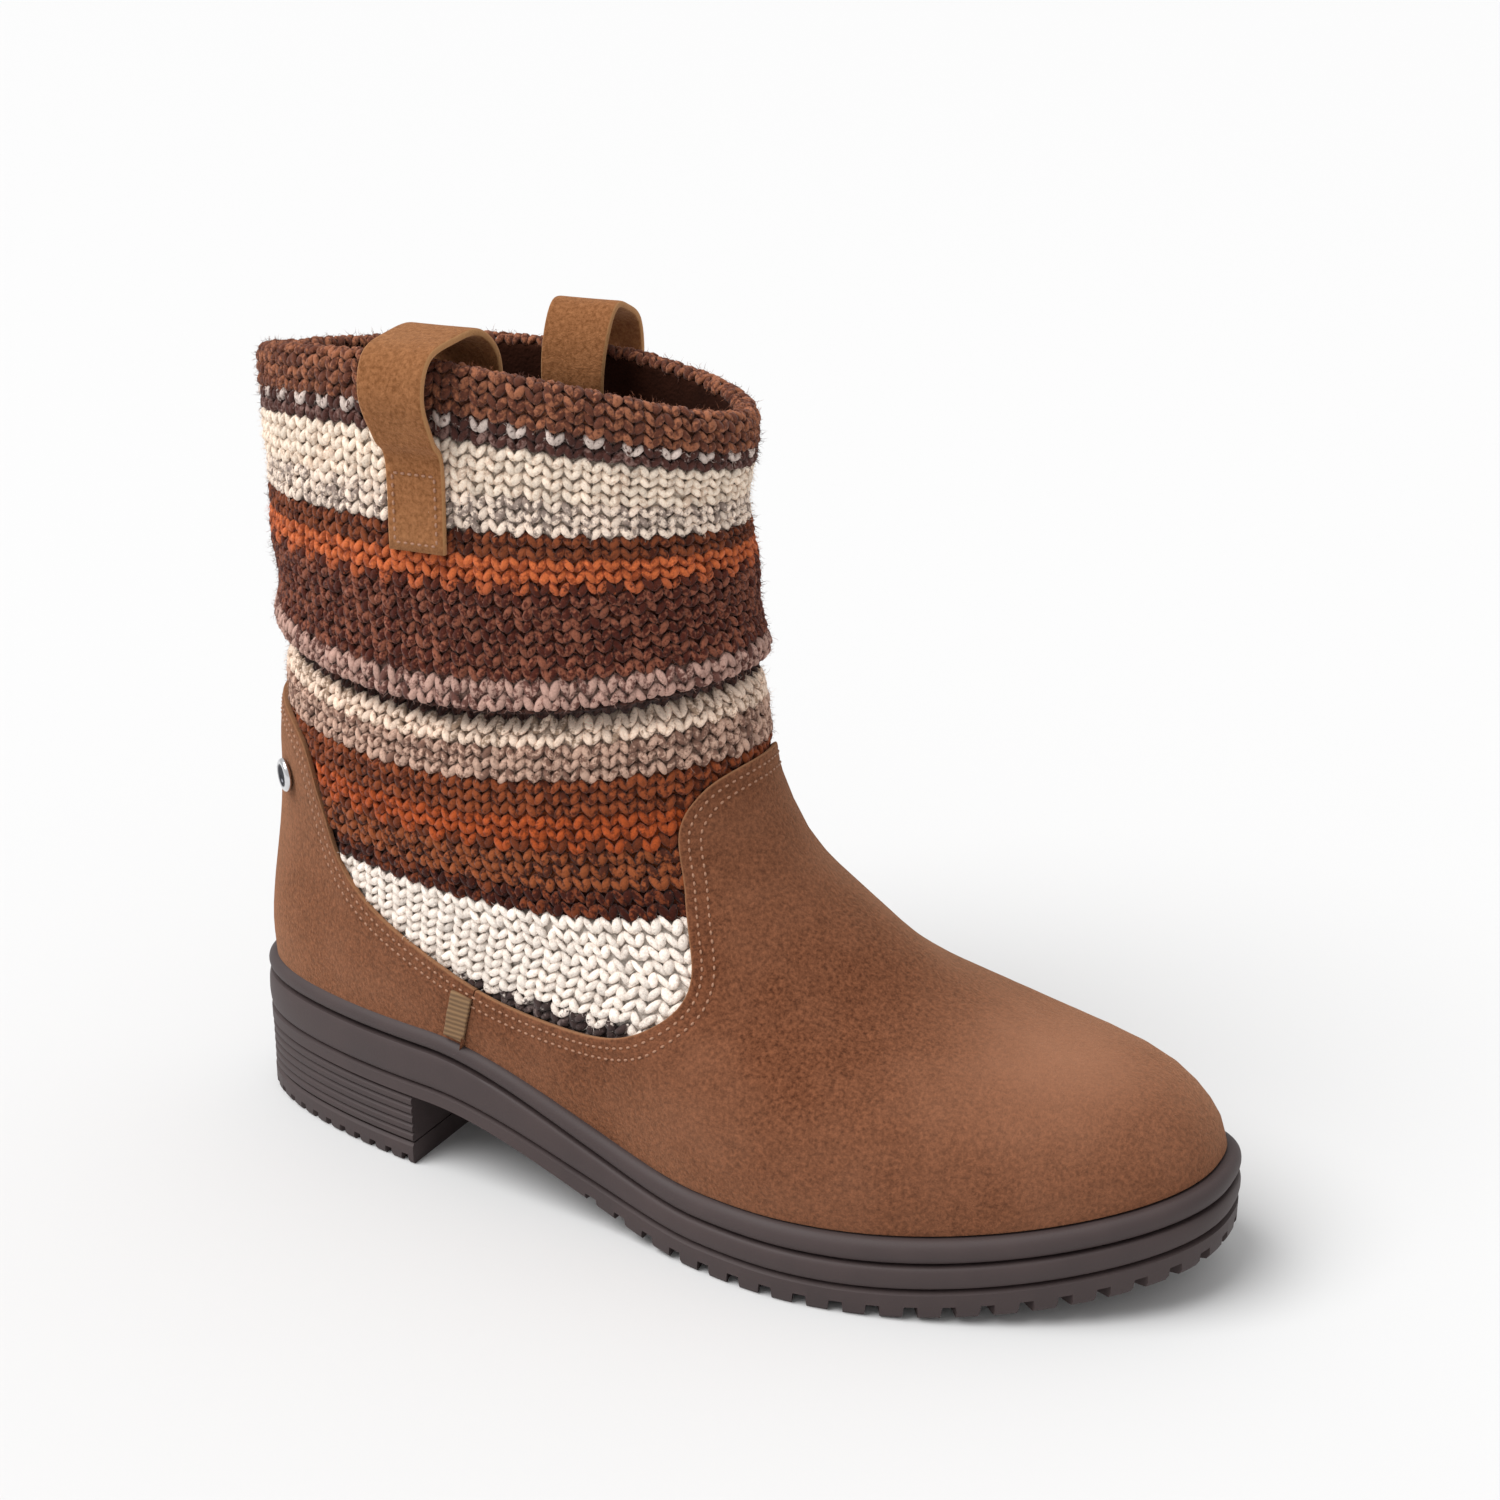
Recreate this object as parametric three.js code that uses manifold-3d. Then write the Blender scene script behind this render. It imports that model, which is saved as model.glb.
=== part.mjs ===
// A right ankle boot that is pulled on by two loops: a knitted shaft with a suede vamp and heel
// counter on a ribbed rubber sole. Millimetres, +X to the toe, +Y to the inner side, +Z up.
import * as THREE from 'three';
import { mergeVertices } from 'three/addons/utils/BufferGeometryUtils.js';
import Module from 'manifold-3d';

const wasm = await Module();
wasm.setup();

// Driving dimensions
const SOLE_LENGTH = 261;
const HEEL_LENGTH = 60;
const TOE_SPRING = 12;
const TOE_SHIFT = 2;
const HEEL_ROUND = 2.3;
const SHANK = { start: 68, end: 150 };
const BALL_END = 180;
const GAP = 0.35;
const SUEDE = { gap: 0.5, thickness: 1.4 };
const INSOLE = { inset: 9, thickness: 3 };
const LOOP = { x: 76.4, width: 17, thickness: 2, outerRise: 5.5, innerRise: 11 };
const RIVET = { radius: 4.3, dome: 1.8, section: 6.1, angle: 211 };
const FOREFOOT_LUG = { pitch: 8.6, width: 2.6, depth: 2.6, reach: 9, start: 112 };
const HEEL_LUG = { pitch: 5.8, width: 1.9, depth: 1.8, reach: 5 };
const AROUND = 48;
const HEEL_STEPS = 20;

// Places along a ring, from its back end (-1) to its front end (1). Each takes its half-width from
// the column of that name, and swing is how far the ring leans to the outer side there.
const STATIONS = [
  { at: -1, column: 'heel', swing: 0 },
  { at: -0.72, column: 'heel', swing: 0 },
  { at: -0.1, column: 'waist', swing: 5.5 },
  { at: 0.36, column: 'ball', swing: 3.5 },
  { at: 1, column: 'toe', swing: 0 },
];

// Widest outline of the sole
const SOLE = {
  back: 0, front: SOLE_LENGTH, heel: 39.6, waist: 37.5, ball: 51, toe: 47, round: 2.4, skew: 1,
};

// Sections of the upper from the welt to the collar. Back and front are the ends of each section,
// then come half-widths, the squareness of its front end, how much it takes of the sole's swing and
// of the sole's rise, how far its sides stand above its ends, how much higher the outer side is than
// the middle, and the wall there.
const SECTIONS = [
  [5.0, 37.6, 255.5, 30.2, 36.0, 33.0, 46.5, 43.0, 2.40, 1.00, 1.00, 0, 0, 2.4],
  [4.8, 48.0, 252.5, 37.5, 37.0, 35.0, 47.5, 43.5, 2.40, 1.00, 0.90, 0, 0, 2.4],
  [6.0, 58.0, 243.5, 45.0, 37.0, 36.5, 46.5, 42.0, 2.35, 0.95, 0.75, 0, 0, 2.4],
  [7.8, 68.0, 228.0, 48.7, 36.6, 37.5, 43.8, 37.5, 2.30, 0.85, 0.55, 0, 0, 2.4],
  [9.4, 77.0, 210.0, 52.1, 36.5, 38.0, 40.5, 33.0, 2.20, 0.70, 0.35, 0, 0, 2.4],
  [10.6, 86.0, 191.0, 58.0, 36.8, 38.5, 40.0, 32.5, 2.10, 0.50, 0.20, 0, 0, 2.4],
  [11.5, 94.0, 173.5, 69.0, 37.5, 38.5, 39.0, 32.5, 2.05, 0.35, 0.10, 0, 0, 2.4],
  [12.2, 102.0, 155.0, 83.0, 38.0, 39.0, 38.5, 33.0, 2.00, 0.20, 0, 0, 0, 2.4],
  [13.6, 110.0, 143.5, 101.0, 38.5, 39.5, 39.0, 36.0, 2.00, 0.10, 0, 0, 0, 2.4],
  [15.4, 120.5, 140.4, 116.5, 39.0, 39.5, 39.5, 38.5, 2.00, 0, 0, -3, 0, 2.4],
  [16.0, 129.5, 138.4, 128.5, 38.0, 38.2, 38.2, 38.0, 2.00, 0, 0, -6.5, 0, 2.4],
  [14.6, 137.0, 139.0, 136.5, 40.0, 40.2, 40.2, 40.0, 2.00, 0, 0, -5.5, 0, 2.6],
  [13.6, 154.0, 136.2, 154.0, 40.0, 40.0, 40.0, 40.0, 2.00, 0, 0, -2.5, 1.0, 2.8],
  [13.0, 173.0, 134.8, 171.0, 40.0, 40.0, 40.0, 40.0, 2.00, 0, 0, 2, 2.5, 3.0],
  [12.4, 187.5, 136.6, 182.0, 40.0, 40.0, 40.0, 40.0, 2.00, 0, 0, 5, 3.8, 4.4],
  [12.4, 195.5, 136.6, 189.5, 39.8, 39.8, 39.8, 39.8, 2.00, 0, 0, 6.3, 4.4, 4.4],
].map(([back, zBack, front, zFront, heel, waist, ball, toe, round, skew, follow, lift, lean, wall], at) => (
  { at, back, zBack, front, zFront, heel, waist, ball, toe, round, skew, follow, lift, lean, wall }
));
const TOP = SECTIONS.length - 1;
const FOLD = 10;

// Edge profiles of the sole's layers, from below upwards: how far each step lies inside the widest
// outline, and its level under the heel and under the ball.
const WELT = [
  { inset: 2.2, heel: 31.8, fore: 13.4 },
  { inset: 0.9, heel: 32.4, fore: 14.0 },
  { inset: 0.3, heel: 33.9, fore: 15.6 },
  { inset: 0.6, heel: 35.6, fore: 17.6 },
  { inset: 1.8, heel: 36.8, fore: 19.0 },
  { inset: 3.6, heel: 37.2, fore: 19.4 },
];
const MIDSOLE = [
  { inset: 1.6, heel: 22.6, fore: 7.2 },
  { inset: 0.4, heel: 23.2, fore: 7.8 },
  { inset: 0.0, heel: 27.0, fore: 10.2 },
  { inset: 0.4, heel: 30.4, fore: 12.4 },
  { inset: 1.6, heel: 31.1, fore: 13.0 },
];
const OUTSOLE = [
  { inset: 1.0, heel: 19.0, fore: 0.0 },
  { inset: 0.2, heel: 19.4, fore: 1.2 },
  { inset: 0.2, heel: 21.6, fore: 6.0 },
  { inset: 1.4, heel: 22.2, fore: 6.8 },
];
const HEEL = { bottom: 6.1, top: 18.6, ribs: 5, crest: 0.3, root: 1.3 };
const LIFT = [
  { inset: 0.9, level: 0.0 },
  { inset: 0.2, level: 0.9 },
  { inset: 0.2, level: 5.0 },
  { inset: 1.0, level: 5.7 },
];

// Edge of the suede on each side of the boot, seen square from the side, from the top of the
// counter at the back, down under the knitted window and up to the top of the vamp.
const SUEDE_EDGE = [
  [8, 113.5], [21, 112], [33, 105], [38, 90], [42, 77.5], [50, 69.3], [63, 62.8], [88, 54.5],
  [112, 52.2], [128, 54], [138.5, 59.2], [141.2, 67], [135, 83], [131.4, 97], [136, 106], [148, 110],
];
const SEAM = { x: 85, z: 52, lean: 0.35 };

// Path of a pull loop in its own upright plane: out from the shaft's side, up from the collar, and
// how much it takes there of the loop's rise over the collar.
const LOOP_PATH = [
  { out: 1.6, up: -42, arch: 0 },
  { out: 1.6, up: -22, arch: 0 },
  { out: 5.2, up: -15, arch: 0 },
  { out: 7.4, up: -6, arch: 0.2 },
  { out: 4.6, up: 0, arch: 0.7 },
  { out: -2.4, up: 0, arch: 1 },
  { out: -9.4, up: 0, arch: 0.7 },
  { out: -12.2, up: -6, arch: 0.2 },
  { out: -10, up: -15, arch: 0 },
  { out: -6.4, up: -22, arch: 0 },
  { out: -5.8, up: -34, arch: 0 },
];

// Smooth value between the rows of a table whose places are in the column at
function between(rows, at, read) {
  const last = rows.length - 1;
  let i = 0;
  while (i < last - 1 && rows[i + 1].at < at) i += 1;
  const slope = (k) => {
    const before = rows[Math.max(k - 1, 0)];
    const after = rows[Math.min(k + 1, last)];
    return (read(after) - read(before)) / (after.at - before.at);
  };
  const span = rows[i + 1].at - rows[i].at;
  const u = (at - rows[i].at) / span;
  const start = (1 + 2 * u) * (1 - u) ** 2 * read(rows[i]) + u * (1 - u) ** 2 * span * slope(i);
  const end = u * u * (3 - 2 * u) * read(rows[i + 1]) - u * u * (1 - u) * span * slope(i + 1);
  return start + end;
}

// Point of a ring seen from above: angle 0 is the toe, a half turn the heel, medial side first
function plan(row, angle) {
  const c = Math.cos(angle);
  const side = Math.sin(angle) < 0 ? -1 : 1;
  const round = c > 0 ? row.round : THREE.MathUtils.lerp(2, HEEL_ROUND, row.skew);
  const swell = Math.max(1 - Math.abs(c) ** round, 0) ** (1 / round);
  const half = between(STATIONS, c, (station) => row[station.column]);
  const swing = row.skew * between(STATIONS, c, (station) => station.swing);
  const shift = row.skew * TOE_SHIFT * Math.max(c, 0) ** 2;
  return {
    x: (row.back + row.front) / 2 + ((row.front - row.back) / 2) * c,
    y: side * swell * (half - side * swing) + shift,
  };
}

function insetRow(row, inset) {
  const inner = { ...row, back: row.back + inset, front: row.front - inset };
  for (const column of ['heel', 'waist', 'ball', 'toe']) inner[column] -= inset;
  return inner;
}

// Level of a sole layer: high under the heel, down through the shank, flat at the ball, up at the toe
function level(x, heel, fore) {
  const drop = THREE.MathUtils.smoothstep(x, SHANK.start, SHANK.end);
  const toe = Math.max((x - BALL_END) / (SOLE_LENGTH - BALL_END), 0);
  return heel + (fore - heel) * drop + TOE_SPRING * toe ** 2;
}

// Surface that joins rings of equal length one to the next, and the last to the first where it closes
function skinOver(rings, closes) {
  const count = rings[0].length;
  const geometry = new THREE.BufferGeometry().setFromPoints(rings.flat());
  const index = [];
  const spans = closes ? rings.length : rings.length - 1;
  for (let j = 0; j < spans; j += 1) {
    const next = ((j + 1) % rings.length) * count;
    for (let i = 0; i < count; i += 1) {
      const k = (i + 1) % count;
      index.push(j * count + i, j * count + k, next + k, j * count + i, next + k, next + i);
    }
  }
  geometry.setIndex(index);
  return withoutSlivers(geometry);
}

function withoutSlivers(geometry) {
  const merged = mergeVertices(geometry, 1e-3);
  const all = merged.index.array;
  const kept = [];
  for (let i = 0; i < all.length; i += 3) {
    const [a, b, c] = all.slice(i, i + 3);
    if (a !== b && b !== c && c !== a) kept.push(a, b, c);
  }
  merged.setIndex(kept);
  return merged;
}

function toManifold(geometry) {
  const bare = geometry.clone();
  for (const name of Object.keys(bare.attributes)) {
    if (name !== 'position') bare.deleteAttribute(name);
  }
  const merged = withoutSlivers(bare);
  return new wasm.Manifold(new wasm.Mesh({
    numProp: 3,
    vertProperties: Float32Array.from(merged.attributes.position.array),
    triVerts: Uint32Array.from(merged.index.array),
  }));
}

function toGeometry(manifold) {
  const mesh = manifold.getMesh();
  const geometry = new THREE.BufferGeometry();
  geometry.setAttribute('position', new THREE.BufferAttribute(mesh.vertProperties, mesh.numProp));
  geometry.setIndex(new THREE.BufferAttribute(mesh.triVerts, 1));
  return geometry;
}

const group = new THREE.Group();

function addPart(name, geometry, color, roughness, metalness = 0) {
  geometry.computeVertexNormals();
  const material = new THREE.MeshStandardMaterial({ color, roughness, metalness });
  const mesh = new THREE.Mesh(geometry, material);
  mesh.name = name;
  group.add(mesh);
  return mesh;
}

const turn = (steps) => Array.from({ length: steps }, (_, i) => (i / steps) * 2 * Math.PI);

// Solid plate over rings of the sole: its flat faces run in to a spine along the middle
function plate(rings, angles, rowOf, zOf, ends) {
  const ringAt = (step) => {
    const row = rowOf(step);
    const points = angles(row).map((angle) => {
      const { x, y } = plan(row, angle);
      return new THREE.Vector3(x, y, zOf(x, step));
    });
    return ends ? [...points, middle(row, angles(row)[0], step)] : points;
  };
  const middle = (row, angle, step) => {
    const { x, y } = plan(row, angle);
    return new THREE.Vector3(x, (y + plan(row, -angle).y) / 2, zOf(x, step));
  };
  const spineAt = (step) => {
    const row = rowOf(step);
    const points = angles(row).map((angle) => middle(row, angle, step));
    return ends ? [...points, points[0].clone()] : points;
  };
  const first = rings[0];
  const last = rings[rings.length - 1];
  return skinOver([spineAt(first), ...rings.map(ringAt), spineAt(last)], false);
}

function soleLayer(profile) {
  return plate(
    profile,
    () => turn(AROUND),
    (step) => insetRow(SOLE, step.inset),
    (x, step) => level(x, step.heel, step.fore),
    false,
  );
}

// Angles round the heel from the inner corner of its breast to the outer one
function heelAngles(row) {
  const reach = (HEEL_LENGTH - (row.back + row.front) / 2) / ((row.front - row.back) / 2);
  const start = Math.acos(reach);
  const sweep = 2 * (Math.PI - start);
  return Array.from({ length: HEEL_STEPS + 1 }, (_, i) => start + (i / HEEL_STEPS) * sweep);
}

function heelLayer(profile) {
  return plate(profile, heelAngles, (step) => insetRow(SOLE, step.inset), (x, step) => step.level, true);
}

// Notches let in from the edge of a tread, evenly spaced along the outline
function notched(geometry, lug, keeps) {
  const fine = turn(720).map((angle) => plan(SOLE, angle));
  let solid = toManifold(geometry);
  let walked = lug.pitch / 2;
  fine.forEach((point, i) => {
    const after = fine[(i + 1) % fine.length];
    const along = new THREE.Vector2(after.x - point.x, after.y - point.y);
    walked += along.length();
    if (walked < lug.pitch) return;
    walked -= lug.pitch;
    if (!keeps(point)) return;
    const box = new THREE.BoxGeometry(2 * lug.reach, lug.width, 2 * lug.depth);
    box.rotateZ(along.angle() - Math.PI / 2);
    box.translate(point.x, point.y, point.x > HEEL_LENGTH ? level(point.x, 0, 0) : 0);
    solid = solid.subtract(toManifold(box));
  });
  return toGeometry(solid);
}

// Outer face of the upper: t counts sections up from the welt
function upperFace(t, angle) {
  const row = {};
  for (const column of Object.keys(SECTIONS[0])) {
    row[column] = between(SECTIONS, t, (section) => section[column]);
  }
  const { x, y } = plan(row, angle);
  const u = (1 + Math.cos(angle)) / 2;
  const straight = THREE.MathUtils.lerp(row.zBack, row.zFront, u);
  const welt = (at) => level(at, WELT.at(-1).heel, WELT.at(-1).fore);
  const rise = welt(x) - THREE.MathUtils.lerp(welt(row.back), welt(row.front), u);
  const side = row.lift * Math.sin(angle) ** 2 - row.lean * Math.sin(angle);
  const z = straight + row.follow * rise + side;
  return { point: new THREE.Vector3(x, y, z), wall: row.wall };
}

// Point off the upper's outer face, out along its normal
function offUpper(t, angle, out) {
  const e = 0.03;
  const { point } = upperFace(t, angle);
  const up = upperFace(Math.min(t + e, TOP), angle).point.sub(upperFace(Math.max(t - e, 0), angle).point);
  const round = upperFace(t, angle + e).point.sub(upperFace(t, angle - e).point);
  return point.addScaledVector(round.cross(up).normalize(), out);
}

// Shell over a span of sections, between an inner and an outer distance from the upper's face
function upperShell(levels, inner, outer) {
  const ring = (t, distance) => turn(AROUND).map((angle) => offUpper(t, angle, distance(t)));
  const outside = levels.map((t) => ring(t, outer));
  const inside = levels.map((t) => ring(t, inner)).reverse();
  return skinOver([...outside, ...inside], true);
}

const steps = (from, to, count) => Array.from({ length: count + 1 }, (_, i) => from + ((to - from) * i) / count);
const FOOT_LEVELS = steps(0, FOLD, 15);
const SHAFT_LEVELS = steps(FOLD, TOP, 6).slice(1);

function makeUpper() {
  const wall = (t) => -upperFace(t, 0).wall;
  return upperShell([...FOOT_LEVELS, ...SHAFT_LEVELS], wall, () => 0);
}

// Suede on the outside of the upper, cut square through from side to side
function makeSuede(outline) {
  const sheet = toManifold(upperShell(FOOT_LEVELS, () => SUEDE.gap, () => SUEDE.gap + SUEDE.thickness));
  const depth = 2 * SOLE_LENGTH;
  const block = new THREE.ExtrudeGeometry(new THREE.Shape(outline), { depth, bevelEnabled: false });
  block.rotateX(Math.PI / 2);
  block.translate(0, depth / 2, 0);
  return toGeometry(sheet.intersect(toManifold(block)));
}

const edge = new THREE.SplineCurve(SUEDE_EDGE.map(([x, z]) => new THREE.Vector2(x, z))).getPoints(36);
const seamAt = (z) => SEAM.x + SEAM.lean * (z - SEAM.z);
const FAR = 400;

function makeVamp() {
  const start = edge.findIndex((point) => point.x > seamAt(point.y) + GAP);
  const top = edge.at(-1);
  return makeSuede([
    new THREE.Vector2(seamAt(0) + GAP, 0),
    new THREE.Vector2(FAR, 0),
    new THREE.Vector2(FAR, top.y),
    ...edge.slice(start).reverse(),
    new THREE.Vector2(seamAt(edge[start].y) + GAP, edge[start].y),
  ]);
}

function makeCounter() {
  const end = edge.findIndex((point) => point.x > seamAt(point.y) - GAP);
  const top = edge[0];
  return makeSuede([
    new THREE.Vector2(-FAR, 0),
    new THREE.Vector2(seamAt(0) - GAP, 0),
    new THREE.Vector2(seamAt(edge[end - 1].y) - GAP, edge[end - 1].y),
    ...edge.slice(0, end).reverse(),
    new THREE.Vector2(-FAR, top.y),
  ]);
}

// A strap bent over the collar and sewn down outside and inside
function makeLoop(side, rise) {
  const bend = ({ out, up, arch }) => new THREE.Vector2(out, up + arch * rise);
  const curve = new THREE.SplineCurve(LOOP_PATH.map(bend));
  const half = LOOP.thickness / 2;
  const stations = steps(0, 1, 22);
  const face = (sign) => stations.map((u) => {
    const along = curve.getTangent(u);
    return curve.getPoint(u).add(new THREE.Vector2(-along.y, along.x).multiplyScalar(sign * half));
  });
  const outline = new THREE.Shape([...face(-1), ...face(1).reverse()]);
  const strap = new THREE.ExtrudeGeometry(outline, { depth: LOOP.width, bevelEnabled: false });
  strap.translate(0, 0, -LOOP.width / 2);
  const out = new THREE.Vector3(0, side, 0);
  const up = new THREE.Vector3(0, 0, 1);
  strap.applyMatrix4(new THREE.Matrix4().makeBasis(out, up, out.clone().cross(up)));
  const collar = SECTIONS.at(-1);
  const height = (collar.zBack + collar.zFront) / 2 + collar.lift - side * collar.lean;
  strap.translate(LOOP.x, side * collar.waist, height);
  return strap;
}

// A domed cap rivet on the counter
function makeRivet() {
  const { radius, dome } = RIVET;
  const profile = [
    [0, 0], [radius - 0.6, 0], [radius, 0.5], [radius - 0.3, 0.9],
    [radius * 0.75, dome * 0.8], [radius * 0.4, dome], [0, dome * 1.05],
  ].map(([x, y]) => new THREE.Vector2(x, y));
  const cap = new THREE.LatheGeometry(profile, 16);
  const angle = THREE.MathUtils.degToRad(RIVET.angle);
  const foot = offUpper(RIVET.section, angle, SUEDE.gap + SUEDE.thickness + GAP);
  const out = foot.clone().sub(offUpper(RIVET.section, angle, 0)).normalize();
  cap.applyQuaternion(new THREE.Quaternion().setFromUnitVectors(new THREE.Vector3(0, 1, 0), out));
  cap.translate(foot.x, foot.y, foot.z);
  return cap;
}

// Ribbed side of the heel block
function heelRibs() {
  const pitch = (HEEL.top - HEEL.bottom) / HEEL.ribs;
  const profile = [];
  for (let rib = 0; rib < HEEL.ribs; rib += 1) {
    const base = HEEL.bottom + rib * pitch;
    profile.push({ inset: HEEL.root, level: base });
    profile.push({ inset: HEEL.crest, level: base + 0.25 * pitch });
    profile.push({ inset: HEEL.crest, level: base + 0.8 * pitch });
  }
  profile.push({ inset: HEEL.root, level: HEEL.top });
  return profile;
}

function makeInsole() {
  const base = WELT.at(-1);
  const profile = [GAP, GAP + INSOLE.thickness].map((up) => (
    { inset: INSOLE.inset, heel: base.heel + up, fore: base.fore + up }
  ));
  return soleLayer(profile);
}

const RUBBER = 0x4b3f3e;
const BROWN_SUEDE = 0x85593a;
addPart('heel_lift', notched(heelLayer(LIFT), HEEL_LUG, (p) => p.x < HEEL_LENGTH - 2), RUBBER, 0.75);
addPart('heel', heelLayer(heelRibs()), RUBBER, 0.7);
addPart('outsole', notched(soleLayer(OUTSOLE), FOREFOOT_LUG, (p) => p.x > FOREFOOT_LUG.start), RUBBER, 0.75);
addPart('midsole', soleLayer(MIDSOLE), RUBBER, 0.7);
addPart('welt', soleLayer(WELT), RUBBER, 0.65);
addPart('insole', makeInsole(), 0x3a2620, 0.95);
addPart('upper', makeUpper(), 0x6b4633, 0.95);
addPart('vamp', makeVamp(), BROWN_SUEDE, 0.92);
addPart('counter', makeCounter(), BROWN_SUEDE, 0.92);
addPart('rivet', makeRivet(), 0xb9bcc0, 0.25, 1);
addPart('pull_loop_lateral', makeLoop(-1, LOOP.outerRise), 0x9a6e42, 0.92);
addPart('pull_loop_medial', makeLoop(1, LOOP.innerRise), 0x9a6e42, 0.92);

// The origin is on the floor under the middle of the boot
const box = new THREE.Box3().setFromObject(group);
const centre = box.getCenter(new THREE.Vector3());
group.position.set(-centre.x, -centre.y, -box.min.z);
group.updateMatrixWorld(true);

export default group;
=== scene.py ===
import math

import bmesh
import bpy
import numpy as np
from mathutils import Matrix, Vector


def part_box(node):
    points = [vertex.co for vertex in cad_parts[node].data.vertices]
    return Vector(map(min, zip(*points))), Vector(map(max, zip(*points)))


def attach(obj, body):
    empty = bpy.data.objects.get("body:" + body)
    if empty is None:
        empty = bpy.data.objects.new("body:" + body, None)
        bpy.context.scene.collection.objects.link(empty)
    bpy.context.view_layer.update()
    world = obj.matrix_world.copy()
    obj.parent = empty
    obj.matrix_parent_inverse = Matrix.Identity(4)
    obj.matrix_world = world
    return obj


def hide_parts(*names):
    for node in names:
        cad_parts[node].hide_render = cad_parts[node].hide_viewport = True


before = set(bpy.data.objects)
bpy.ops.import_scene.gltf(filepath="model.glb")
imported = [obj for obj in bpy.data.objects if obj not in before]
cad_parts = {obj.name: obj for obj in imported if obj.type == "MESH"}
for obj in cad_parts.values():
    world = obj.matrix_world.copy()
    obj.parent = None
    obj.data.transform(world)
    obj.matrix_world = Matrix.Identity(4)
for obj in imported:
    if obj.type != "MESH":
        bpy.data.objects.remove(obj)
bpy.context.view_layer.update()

# Sole
# Welt, midsole and outsole are one moulding of dark brown rubber, made here as three layers because
# a groove parts each from the next. The outsole's lower edge is notched between its lugs.
MM = 0.001
HEEL_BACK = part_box("midsole")[0].x
MIDDLE = (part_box("pull_loop_lateral")[0].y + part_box("pull_loop_medial")[1].y) / 2
SOLE_LENGTH = (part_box("midsole")[1].x - HEEL_BACK) / MM
TOE_SPRING = 12
TOE_SHIFT = 2
HEEL_ROUND = 2.3
SHANK_START = 68
SHANK_END = 150
BALL_END = 180
SOLE = {
    "back": 0, "front": SOLE_LENGTH, "heel": 39.6, "waist": 37.5, "ball": 51, "toe": 47,
    "round": 2.4, "skew": 1,
}
STATIONS = (-1, -0.72, -0.1, 0.36, 1)
STATION_COLUMNS = ("heel", "heel", "waist", "ball", "toe")
STATION_SWINGS = (0, 0, 5.5, 3.5, 0)
SOLE_STEPS = 96
PROFILE_STEPS = 3
# Each step of a layer's edge: inset from the widest outline, level under the heel and under the ball
WELT = [(2.2, 33.6, 13.4), (0.9, 34.2, 14.0), (0.3, 35.5, 15.6), (0.6, 37.0, 17.6), (1.8, 38.2, 19.0),
        (3.6, 38.6, 19.4)]
MIDSOLE = [(1.6, 23.4, 7.2), (0.4, 24.0, 7.8), (0.0, 28.0, 10.2), (0.4, 32.2, 12.4), (1.6, 32.9, 13.0)]
OUTSOLE = [(10.0, 19.0, 0.0), (9.0, 19.0, 0.0), (1.0, 19.0, 0.0), (0.2, 19.4, 1.2), (0.2, 22.4, 6.0),
           (1.4, 23.0, 6.8)]
FOOT_BED = (37.2, 19.4)
LUG = {"pitch": 8.6, "width": 3.3, "depth": 3.0, "start": 112}
NOTCH_WALL = 0.12
NOTCH_STEP = 1.6
FINE_STEPS = 720
# Edges of the moulding that turn by more than this many degrees are left sharp
MOULD_EDGE = 40


def in_frame(points):
    return np.asarray(points) * MM + (HEEL_BACK, MIDDLE, 0)


def between(places, values, at):
    """Smooth value through a table of places, one value or one array of values for each place."""
    places = np.asarray(places, float)
    at = np.asarray(at, float)
    table = np.array([np.broadcast_to(value, at.shape) for value in values], float)
    order = np.arange(len(places))
    before = np.maximum(order - 1, 0)
    after = np.minimum(order + 1, order[-1])
    slopes = (table[after] - table[before]) / (places[after] - places[before])[:, None]
    i = np.searchsorted(places[1:-1], at)
    span = places[i + 1] - places[i]
    u = (at - places[i]) / span
    every = np.arange(at.size)
    start = (1 + 2 * u) * (1 - u) ** 2 * table[i, every] + u * (1 - u) ** 2 * span * slopes[i, every]
    end = u * u * (3 - 2 * u) * table[i + 1, every] - u * u * (1 - u) * span * slopes[i + 1, every]
    return start + end


def plan(row, angle):
    """Point of a ring seen from above: angle 0 is the toe, a half turn the heel, inner side first."""
    c = np.cos(angle)
    side = np.where(np.sin(angle) < 0, -1, 1)
    power = np.where(c > 0, row["round"], 2 + (HEEL_ROUND - 2) * row["skew"])
    swell = np.maximum(1 - np.abs(c) ** power, 0) ** (1 / power)
    half = between(STATIONS, [row[column] for column in STATION_COLUMNS], c)
    swing = row["skew"] * between(STATIONS, STATION_SWINGS, c)
    x = (row["back"] + row["front"]) / 2 + (row["front"] - row["back"]) / 2 * c
    y = side * swell * (half - side * swing) + row["skew"] * TOE_SHIFT * np.maximum(c, 0) ** 2
    return x, y


def inset_row(row, inset):
    inner = dict(row)
    inner["back"] = row["back"] + inset
    inner["front"] = row["front"] - inset
    for column in ("heel", "waist", "ball", "toe"):
        inner[column] = row[column] - inset
    return inner


def level(x, heel, fore):
    """Level of a sole layer: high at the heel, down through the shank, up again at the toe."""
    u = np.clip((x - SHANK_START) / (SHANK_END - SHANK_START), 0, 1)
    toe = np.maximum((x - BALL_END) / (SOLE_LENGTH - BALL_END), 0)
    return heel + (fore - heel) * u * u * (3 - 2 * u) + TOE_SPRING * toe ** 2


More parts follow.
